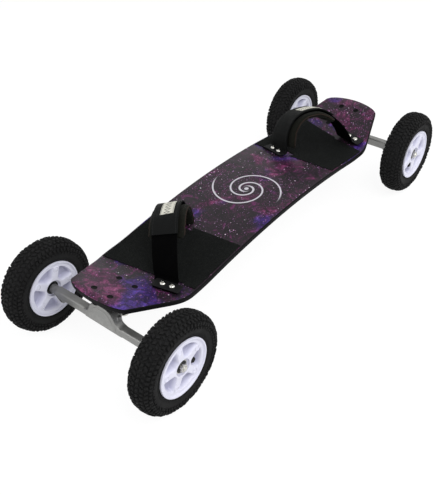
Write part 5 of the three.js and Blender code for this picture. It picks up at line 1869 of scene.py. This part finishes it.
    def add_spine(self, draft: Draft) -> None:
        """The spine that carries the pivot neck up from the web.

        Args:
            draft: The mesh that gets it.
        """
        neck = self.neck
        foot, mouth = (self.pivot - self.steer * reach for reach in (self.neck_foot, self.neck_mouth))
        front, back = self.ring[0] + self.ring_radius, foot[0] - 4.0
        outline = np.array([
            (0.0, 0.0), (front, 0.0), (front, self.ring[2] + self.ring_face), (back, foot[2] - neck),
            (back, foot[2]), (mouth[0], mouth[2]), (0.0, mouth[2] - neck),
        ])
        rows = [np.insert(outline, 1, y, axis=1) for y in (-neck, neck)]
        draft.body(np.array(rows), flat=True)


# ---------------------------------------------------------------- foot straps


class Layer(NamedTuple):
    """A layer of webbing, from the inboard bracket (side -1) or the outboard one (side 1).

    Its outer face lies a depth below the arch's line, and it ends at the last share of the arch.
    """

    side: int
    depth: float
    last: float
    width: float


@dataclass
class Binding:
    """A foot strap: two brackets, two layers of webbing, a foam pad and a pale patch.

    A place on it is a share of the arch's outer line from inboard to outboard, a depth below that
    line and a place across it, toward the heel.
    """

    end: End
    deck: DeckShape
    centre_x: float
    centre_y: float
    rise: float
    line_angle: float = 34.0
    bracket_angle: float = 13.5
    crest_angle: float = 25.0
    crest_lean: float = 9.0
    strap_width: float = 52.0
    strap_share: float = 0.7
    flap_share: float = 0.665
    flap_width: float = 55.5
    patch_start: float = 0.34
    patch_share: float = 0.17
    patch_width: float = 27.0
    patch_thickness: float = 0.9
    toe_shift: float = 3.5
    pad_start: float = 0.055
    pad_share: float = 0.69
    strap_thickness: float = 3.0
    strap_lift: float = 0.6
    layer_gap: float = 0.5
    shift: float = 6.0
    tuck: float = 7.0
    tuck_height: float = 16.0
    inboard_power: float = 2.6
    outboard_power: float = 1.5
    instep: float = 0.36
    bracket_edge: float = 55.1
    arch_to_bracket: float = 11.0
    slope_share: float = 0.012
    bracket_size: tuple[float, float, float] = (24.0, 58.0, 4.0)
    bracket_thickness: float = 2.5
    bracket_gap: float = 0.3
    strap_end_gap: float = 0.5
    pad_width: float = 78.0
    pad_thickness: float = 14.0
    pad_voxel: float = 4.0
    pad_pressure: float = 4.0
    pad_fill: float = 0.85
    pad_steps: int = 80
    cloth_frames: int = 20
    swell_limit: float = 2.2
    channels: int = 4
    channel_depth: float = 2.2
    channel_share: float = 0.011
    piping_radius: float = 1.3
    piping_depth: float = 0.42
    screw_offset: float = 10.0
    pad_section: Profile = (
        (0.7, 0.06), (0.9, 0.08), (0.96, 0.3), (0.96, 0.62), (0.88, 0.84), (0.5, 0.88), (0.0, 0.9),
        (-0.5, 0.88), (-0.88, 0.84), (-0.96, 0.62), (-0.96, 0.3), (-0.9, 0.08), (-0.7, 0.06), (0.0, 0.04),
    )
    screw_dome: Profile = (
        (5.6, -0.1), (5.7, 0.5), (5.2, 1.7), (4.2, 2.7), (3.0, 3.15), (2.0, 3.2), (1.9, 3.0, 6),
        (1.8, 1.4, 6), (0.01, 1.3),
    )
    screw_nut: Profile = (
        (2.6, -0.4), (7.6, -0.4), (8.0, -0.8), (7.9, -1.5), (3.4, -1.6), (2.7, -1.2), (0.01, -1.2),
    )

    def __post_init__(self) -> None:
        """Works out the strap's line, its arch and its two seats on the deck."""
        angle = math.radians(self.line_angle)
        length, width, _ = self.bracket_size
        self.centre = np.array([self.centre_x, self.centre_y, 0.0])
        self.outboard = np.array([self.end.value * math.cos(angle), math.sin(angle), 0.0])
        self.reach = (self.deck.width / 2 - self.bracket_edge) / math.sin(angle)
        self.half_span = self.reach - self.arch_to_bracket
        near = self.half_span - self.tuck - 2 * self.strap_thickness
        self.far = self.reach + length / 2
        wide = ((self.far - near) * math.cos(angle) + width * math.sin(math.radians(self.bracket_angle))) / 2
        middle = (self.far + near) / 2
        self.seats = {side: self.seat_plane(self.plan(side * middle, 0)[0], wide) for side in (-1, 1)}
        self.arch, self.arch_lengths = self.arch_line()

    def turn(self, lift: Any) -> Any:
        """The webbing's angle at a share of the arch's rise, in degrees."""
        return self.bracket_angle + (self.crest_angle - self.bracket_angle) * lift

    def heel(self, lift: float) -> Array:
        """The direction from toes to heel, for webbing at a share of the arch's rise."""
        angle = math.radians(self.turn(lift))
        return np.array([-self.end.value * math.sin(angle), math.cos(angle), 0.0])

    def plan(self, s: float, across: float, lift: float = 0.0) -> Array:
        """A place on the deck's plan, along the strap's line and across it at a share of the arch's rise."""
        return self.centre + self.outboard * s + self.heel(lift) * (across - self.crest_lean * lift)

    def seat_plane(self, x: float, reach: float) -> tuple[float, float, float]:
        """Finds the plane that a bracket is seated on.

        Args:
            x: The bracket's place along the deck.
            reach: How far it reaches each way.

        Returns:
            The plane's slope, height and place.
        """
        top = self.deck.faceted_top
        slope = float(top(x + reach) - top(x - reach)) / (2 * reach)
        steps = np.linspace(-reach, reach, 17)
        return slope, float(np.max(top(x + steps) - slope * steps)), x

    def seat_height(self, side: int, x: float) -> float:
        """Height of one bracket's seat plane at a place along the deck."""
        slope, height, middle = self.seats[side]
        return height + slope * (x - middle)

    def seat_ends(self, across: float) -> tuple[float, ...]:
        """Height of both seats where the arch ends, at a place across it."""
        return tuple(self.seat_height(side, self.plan(side * self.half_span, across)[0]) for side in (-1, 1))

    def seat_place(self, side: int, s: float, across: float, height: float) -> Array:
        """A point above a bracket's seat plane.

        Args:
            side: -1 for the inboard bracket, 1 for the outboard one.
            s: How far out it lies.
            across: How far towards the heel.
            height: How far above the plane.

        Returns:
            The point.
        """
        point = self.plan(side * s, across)
        point[2] = self.seat_height(side, point[0]) + height
        return point

    def arch_line(self) -> tuple[Array, Array]:
        """Draws the arch's outer line.

        Returns:
            The line as places along the strap and heights, and the distance along it.
        """
        angles = np.linspace(0, math.pi, 241)
        side = np.where(np.arange(241) < 120, -1.0, 1.0)
        power = 2 / np.where(side < 0, self.inboard_power, self.outboard_power)
        height = self.rise * np.maximum(0, np.sin(angles)) ** power
        tuck = self.tuck * np.maximum(0, 1 - height / self.tuck_height) ** 2
        span = (self.half_span + side * self.shift) * np.abs(np.cos(angles)) ** power - tuck
        line = np.stack([side * span - self.shift, height], axis=1)
        return line, lengths_along(line)

    def arch_place(self, share: float, depth: float, across: float) -> Array:
        """A point under the arch's outer line.

        Args:
            share: How far along the line.
            depth: How far below the line.
            across: How far towards the heel.

        Returns:
            The point.
        """
        lengths = self.arch_lengths
        before, at, after = (
            np.array([np.interp(spot * lengths[-1], lengths, self.arch[:, k]) for k in (0, 1)])
            for spot in (share - self.slope_share, share, share + self.slope_share)
        )
        tangent = (after - before) / np.linalg.norm(after - before)
        s, height = at[0] + depth * tangent[1], at[1] - depth * tangent[0]
        low, high = self.seat_ends(across)
        base = low + (high - low) * (s + self.half_span) / (2 * self.half_span)
        point = self.plan(s, across, at[1] / self.rise)
        point[2] = base + height + self.instep * across * height / self.rise
        return point

    def arch_read(self, points: Array) -> tuple[Array, Array, Array]:
        """Reads points back as places on the arch.

        Args:
            points: Points, in millimetres.

        Returns:
            Each point's share of the arch, depth below its outer line and place across it.
        """
        flat = points[:, :2] - self.centre[:2]
        out_x, out_y, _ = self.outboard
        low, high = self.seat_ends(0)
        height = points[:, 2] - (low + high) / 2
        for _ in range(6):
            lift = np.clip(height / self.rise, 0.0, 1.0)
            angle = np.radians(self.turn(lift))
            heel_x, heel_y = -self.end.value * np.sin(angle), np.cos(angle)
            area = out_x * heel_y - out_y * heel_x
            along = (flat[:, 0] * heel_y - flat[:, 1] * heel_x) / area
            across = (out_x * flat[:, 1] - out_y * flat[:, 0]) / area + self.crest_lean * lift
            base = low + (high - low) * (along + self.half_span) / (2 * self.half_span)
            height = (points[:, 2] - base) / (1 + self.instep * across / self.rise)
        start, step = self.arch[:-1], np.diff(self.arch, axis=0)
        offset = np.stack([along, height], axis=1)[:, None] - start
        ahead = np.clip((offset * step).sum(axis=2) / (step * step).sum(axis=1), 0.0, 1.0)
        gap = np.linalg.norm(offset - ahead[..., None] * step, axis=2)
        nearest = gap.argmin(axis=1)
        every = np.arange(len(points))
        reached = self.arch_lengths[nearest] + ahead[every, nearest] * np.linalg.norm(step, axis=1)[nearest]
        return reached / self.arch_lengths[-1], gap[every, nearest], across

    def build(self) -> list[Piece]:
        """Builds the binding's pieces.

        Returns:
            The pieces made.
        """
        end = self.end.label
        upper = Layer(-1, 0.0, self.flap_share, self.flap_width)
        lower = Layer(1, self.strap_thickness + self.layer_gap, self.strap_share, self.strap_width)
        steel = [BLACK_STEEL_AND_SHADE, ZINC]
        return [
            self.made(self.strap(upper), f"strap_{end}_upper", [WEBBING], "webbing"),
            self.made(self.strap(lower), f"strap_{end}_lower", [LEG_WEBBING], "webbing"),
            self.made(self.bracket(-1), f"bracket_{end}_inboard", steel, "black_steel"),
            self.made(self.bracket(1), f"bracket_{end}_outboard", steel, "black_steel"),
            *self.pad(),
            settled(self.patch().build(f"patch_{end}", [PATCH], weld=False), "deck"),
        ]

    def made(self, draft: Draft, name: str, finishes: Sequence[Finish], slot: str) -> Piece:
        """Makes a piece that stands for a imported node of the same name."""
        node = f"binding_{name}"
        return settled(draft.build(node + "_look", finishes, weld=False), "deck", node)

    def strap_line(self, layer: Layer, across: float) -> Array:
        """The webbing's middle line at one place across it, from its tab up and over the arch.

        Args:
            layer: The layer of webbing.
            across: How far towards the heel.

        Returns:
            Evenly smoothed points.
        """
        middle = self.strap_thickness / 2
        foot = self.half_span - self.tuck + self.strap_lift + self.strap_thickness - layer.depth
        tab = np.linspace(self.far - self.strap_end_gap, foot + 1.2, 8)
        points = [self.seat_place(layer.side, s, across, self.strap_lift + middle) for s in tab]
        for share in np.linspace(0.035, layer.last, 90):
            along = share if layer.side < 0 else 1 - share
            points.append(self.arch_place(along, layer.depth + middle, across))
        line = np.array(points)
        for _ in range(3):
            line[1:-1] = (line[:-2] + 2 * line[1:-1] + line[2:]) / 4
        return line

    def strap(self, layer: Layer) -> Draft:
        """One layer of webbing with rounded edges.

        Args:
            layer: The layer.

        Returns:
            Its mesh.
        """
        half = layer.width / 2 - self.strap_thickness * 0.4
        places = np.linspace(-half, half, 9)
        lines = [self.strap_line(layer, a - self.toe_shift) for a in places]
        return ribbon(np.array(lines).transpose(1, 0, 2), places, self.strap_thickness)

    def patch(self) -> Draft:
        """The pale patch sewn on top of the arch.

        Returns:
            Its mesh.
        """
        places = np.linspace(-self.patch_width / 2, self.patch_width / 2, 7)
        shares = np.linspace(self.patch_start, self.patch_start + self.patch_share, 20)
        middle = np.array([[self.arch_place(s, -0.55, a - 1.0) for a in places] for s in shares])
        return ribbon(middle, places, self.patch_thickness)

    def pad(self) -> list[Piece]:
        """The foam pad: a swollen cloth cover with sewn channels, and piping along both edges.

        Returns:
            The pad and its piping.
        """
        end = self.end.label
        piece = self.pad_blank().build(f"binding_pad_{end}_look", [PAD_CLOTH], smooth=80)
        voxels = {"mode": "VOXEL", "voxel_size": self.pad_voxel * MM, "use_smooth_shade": True}
        modified(piece, ("REMESH", voxels))
        self.swell(piece)
        modified(piece, ("SUBSURF", {"levels": 1, "render_levels": 1}))
        self.sew(piece)
        piping, shares = Draft(), np.linspace(self.pad_start + 0.02, self.pad_share - 0.025, 70)
        for side in (-1, 1):
            edge = side * self.pad_width / 2
            line = [self.arch_place(share, self.pad_depth(self.piping_depth), edge) for share in shares]
            snapped = [np.array(piece.closest_point_on_mesh(Vector(spot * MM))[1]) / MM for spot in line]
            piping.grid(tube(np.array(snapped), self.piping_radius, 10))
        trim = piping.build(f"pad_piping_{end}", [PIPING], smooth=80)
        settled(piece, "deck", f"binding_pad_{end}")
        return [piece, settled(trim, "deck")]

    def pad_depth(self, share: float) -> float:
        """How far below the arch's line a share of the pad's thickness lies."""
        return 2 * (self.strap_thickness + self.layer_gap) + share * self.pad_thickness

    def pad_blank(self) -> Draft:
        """The pad's cut foam, a little smaller than the pad, before its cover swells.

        Returns:
            Its closed mesh.
        """
        rows, steps = [], self.pad_steps
        for k in range(steps + 1):
            share = self.pad_start + (self.pad_share - 0.06) * k / steps
            ends = min(1.0, min(k, steps - k) / 4)
            shrink = 0.7 + 0.3 * math.sqrt(1 - (1 - ends) ** 2)
            width = shrink**0.5 * self.pad_width / 2
            row = [(self.pad_depth(0.45 + (d - 0.45) * shrink), a * width) for a, d in self.pad_section]
            rows.append([self.arch_place(share, *spot) for spot in row])
        draft = Draft()
        draft.body(np.array(rows))
        return draft

    def swell(self, piece: Piece) -> None:
        """Runs the cover as cloth under pressure, held where it meets the webbing, and keeps the result.

        Args:
            piece: The pad.
        """
        mesh = piece.data
        start = mesh_read(mesh)
        depth = self.arch_read(start / MM)[1]
        held = piece.vertex_groups.new(name="held")
        held.add(np.flatnonzero(depth < self.pad_depth(0.28)).tolist(), 1.0, "REPLACE")
        cloth = piece.modifiers.new("cover", "CLOTH")
        settings = cloth.settings
        settings.vertex_group_mass = "held"
        settings.use_pressure = True
        settings.uniform_pressure_force = self.pad_pressure
        settings.effector_weights.gravity = 0.0
        settings.quality = 6
        scene = bpy.context.scene
        for moment in range(1, self.cloth_frames + 1):
            scene.frame_set(moment)
        swollen = mesh_read(piece.evaluated_get(bpy.context.evaluated_depsgraph_get()).data)
        piece.modifiers.remove(cloth)
        scene.frame_set(1)
        moved = swollen - start
        far = np.linalg.norm(moved, axis=1, keepdims=True)
        moved *= np.minimum(1.0, self.swell_limit * MM / np.maximum(far, 1e-9))
        mesh.vertices.foreach_set("co", (start + moved).reshape(-1))
        mesh.update()
        LOG.info("cover of %s swelled by up to %.1f mm", piece.name, float(far.max()) / MM)

    def sew(self, piece: Piece) -> None:
        """Draws the cover in along its sewn channels and lays its weave along the arch.

        Args:
            piece: The pad.
        """
        mesh = piece.data
        spots = mesh_read(mesh)
        share, depth, across = self.arch_read(spots / MM)
        pitch = 1 / (self.channels + 1)
        aside = np.abs((share + pitch / 2) % pitch - pitch / 2)
        inner = smooth_share(depth, self.pad_depth(0.2), self.pad_depth(0.7))
        sewn = (share > 0.5 * pitch) & (share < self.pad_share - 0.2 * pitch)
        drawn = self.channel_depth * np.exp(-((aside / self.channel_share) ** 2)) * inner * sewn
        inward = mesh_read(mesh, "normal") * (drawn * MM)[:, None]
        mesh.vertices.foreach_set("co", (spots - inward).reshape(-1))
        lay_surface(mesh, np.stack([across + depth, share * self.arch_lengths[-1]], axis=1))
        mesh.update()

    def bracket(self, side: int) -> Draft:
        """A pressed plate over the webbing's tab, with two domed screws and their flanged nuts.

        Args:
            side: -1 for the inboard bracket, 1 for the outboard one.

        Returns:
            Its mesh, with the plate first and the screws second.
        """
        draft = Draft()
        slope = self.seats[side][0]
        up = np.array([-slope, 0.0, 1.0]) / math.hypot(slope, 1.0)
        out = unit(np.cross(self.heel(0.0), up))
        wide = np.cross(up, out)
        origin = self.seat_place(side, self.reach, 0.0, 0.0)
        bottom = self.strap_lift + self.strap_thickness + self.bracket_gap
        top = bottom + self.bracket_thickness
        levels = ((bottom, 0.5), (bottom + 0.5, 0.0), (top - 0.8, 0.0), (top - 0.2, 0.35), (top, 1.0))
        draft.body(plate_rows(self.bracket_size, levels, (origin, out, wide, up), 5))
        for offset in (-self.screw_offset, self.screw_offset):
            place = origin + wide * offset
            draft.rod(self.screw_dome, up, place + up * top, 36, 1)
            under = float(place[0]) + np.array([-8, 0, 8])
            below = float(np.min(self.deck.top(under) - self.seat_height(side, under))) - self.deck.thickness
            shank = [(2.6, 1.0)] + [(radius, below + height) for radius, height in self.screw_nut]
            draft.rod(shank, up, place, 30, 1)
        return draft


# ---------------------------------------------------------------- studio


@dataclass(frozen=True)
class Backdrop(Finish):
    """The floor: it keeps the board's shadow, and looks white to the camera and in reflections."""

    white_share: float = 0.86
    white_strength: float = 1.07

    def dress(self, graph: Graph) -> tuple[Socket, ...]:
        """Makes its colour, a faint mottle.

        Args:
            graph: The material's nodes.

        Returns:
            The colour.
        """
        return (graph.ramp(graph.noise(graph.place(), 3.0, 3.0), [(0.3, (0.87,) * 3), (0.7, (0.9,) * 3)]),)

    def shown(self, graph: Graph, surface: Socket) -> Socket:
        """Adds a share of plain white for rays that look at it.

        Args:
            graph: The material's nodes.
            surface: The shader's output.

        Returns:
            What the material shows.
        """
        looked = graph.looked()
        white = graph.node("Emission", {"Color": (1.0, 1.0, 1.0), "Strength": self.white_strength})
        share = graph.times(looked, self.white_share)
        return graph.node("MixShader", {0: share, 1: surface, 2: white.outputs[0]}).outputs[0]


class Lamp(NamedTuple):
    """A square softbox.

    Its name, its place and target in metres, the length of its sides, and its power in watts.
    """

    name: str
    place: tuple[float, float, float]
    target: tuple[float, float, float]
    size: float
    power: float


@dataclass
class Studio:
    """Floor, world light, lamps and the camera."""

    camera_place: tuple[float, float, float] = (993.85, 759.615, 1000.586)
    yaw: float = -139.452
    pitch: float = 38.759
    roll: float = -2.554
    focal_pixels: float = 686.316
    sensor: float = 36.0
    floor_half: float = 9000.0
    world_strength: float = 0.55
    world_shown: float = 0.45
    lamps: tuple[Lamp, ...] = (
        Lamp("key softbox", (0.5, 1.3, 2.0), (0.0, 0.0, 0.1), 1.2, 26.0),
        Lamp("fill softbox", (1.9, -0.9, 1.2), (0.1, 0.0, 0.1), 1.4, 10.0),
        Lamp("left softbox", (-1.3, 1.5, 1.5), (0.0, 0.0, 0.1), 1.2, 12.0),
    )

    def build(self) -> None:
        """Builds the floor, world, lamps and camera."""
        self.add_floor()
        self.add_world()
        for lamp in self.lamps:
            self.add_lamp(lamp)
        self.add_camera()

    def add_floor(self) -> None:
        """A wide plain floor under the wheels."""
        draft, half = Draft(), self.floor_half
        corners = [[(x, y, 0.0) for x in (-half, half)] for y in (-half, half)]
        draft.grid(np.array(corners), wrap_columns=False)
        draft.build("studio_floor", [Backdrop("studio floor", (0.88, 0.88, 0.88), roughness=0.9)])

    def add_world(self) -> None:
        """An even world light that looks white behind the floor."""
        world = bpy.data.worlds.new("studio light")
        world.use_nodes = True
        world.node_tree.nodes.clear()
        graph = Graph(world.node_tree)
        strength = graph.math("ADD", graph.times(graph.looked(), self.world_shown), self.world_strength)
        background = graph.node("Background", {"Color": (1.0, 1.0, 1.0), "Strength": strength})
        graph.node("OutputWorld", {"Surface": background.outputs[0]})
        bpy.context.scene.world = world

    def add_lamp(self, lamp: Lamp) -> None:
        """Hangs a lamp and points it at its target.

        Args:
            lamp: The lamp.
        """
        data = bpy.data.lights.new(lamp.name, "AREA")
        data.size, data.energy = lamp.size, lamp.power
        light = bpy.data.objects.new(lamp.name, data)
        light.location = lamp.place
        light.rotation_euler = (Vector(lamp.target) - Vector(lamp.place)).to_track_quat("-Z", "Y").to_euler()
        bpy.context.scene.collection.objects.link(light)

    def add_camera(self) -> None:
        """The camera at the photograph's place, with its lens."""
        yaw, pitch, roll = (math.radians(a) for a in (self.yaw, self.pitch, self.roll))
        ahead = Vector((math.cos(yaw) * math.cos(pitch), math.sin(yaw) * math.cos(pitch), -math.sin(pitch)))
        level = Vector((math.sin(yaw), -math.cos(yaw), 0.0))
        upright = level.cross(ahead)
        right = math.cos(roll) * level + math.sin(roll) * upright
        up = -math.sin(roll) * level + math.cos(roll) * upright
        data = bpy.data.cameras.new("camera")
        data.sensor_fit = "HORIZONTAL"
        data.sensor_width = self.sensor
        data.lens = self.focal_pixels / PHOTO_WIDTH * self.sensor
        data.clip_start, data.clip_end = 0.05, 60.0
        camera = bpy.data.objects.new("camera", data)
        turn = Matrix((right, up, -ahead)).transposed().to_4x4()
        camera.matrix_world = Matrix.Translation(Vector(self.camera_place) * MM) @ turn
        bpy.context.scene.collection.objects.link(camera)
        bpy.context.scene.camera = camera


# ---------------------------------------------------------------- the whole board

WHEEL_ROLLS = {
    (End.FRONT, Side.LEFT): -168.0, (End.FRONT, Side.RIGHT): 146.0,
    (End.REAR, Side.LEFT): -54.0, (End.REAR, Side.RIGHT): 30.0,
}
BINDING_PLACES = {End.FRONT: (247.4, 8.5, 87.0, 0.34), End.REAR: (-258.0, 10.2, 100.0, 0.4)}


def main() -> None:
    """Builds every sub-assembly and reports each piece."""
    shape = DeckShape()
    shared: dict[str, bpy.types.Mesh] = {}
    parts: list[Any] = [Deck(shape)]
    for end in End:
        x, y, rise, patch = BINDING_PLACES[end]
        parts += [Truck(end, shape), Binding(end, shape, x, y, rise, patch_start=patch)]
        parts += [Wheel(end, side, WHEEL_ROLLS[(end, side)], shape, shared=shared) for side in Side]
    for part in parts:
        for piece in part.build():
            LOG.info("%s: %s, %d faces", type(part).__name__, piece.name, len(piece.data.polygons))
    Studio().build()
    bpy.context.scene.view_settings.view_transform = "Standard"
    bpy.context.view_layer.update()


if __name__ == "__main__":
    logging.basicConfig(level=logging.INFO, format="%(name)s: %(message)s")
    main()
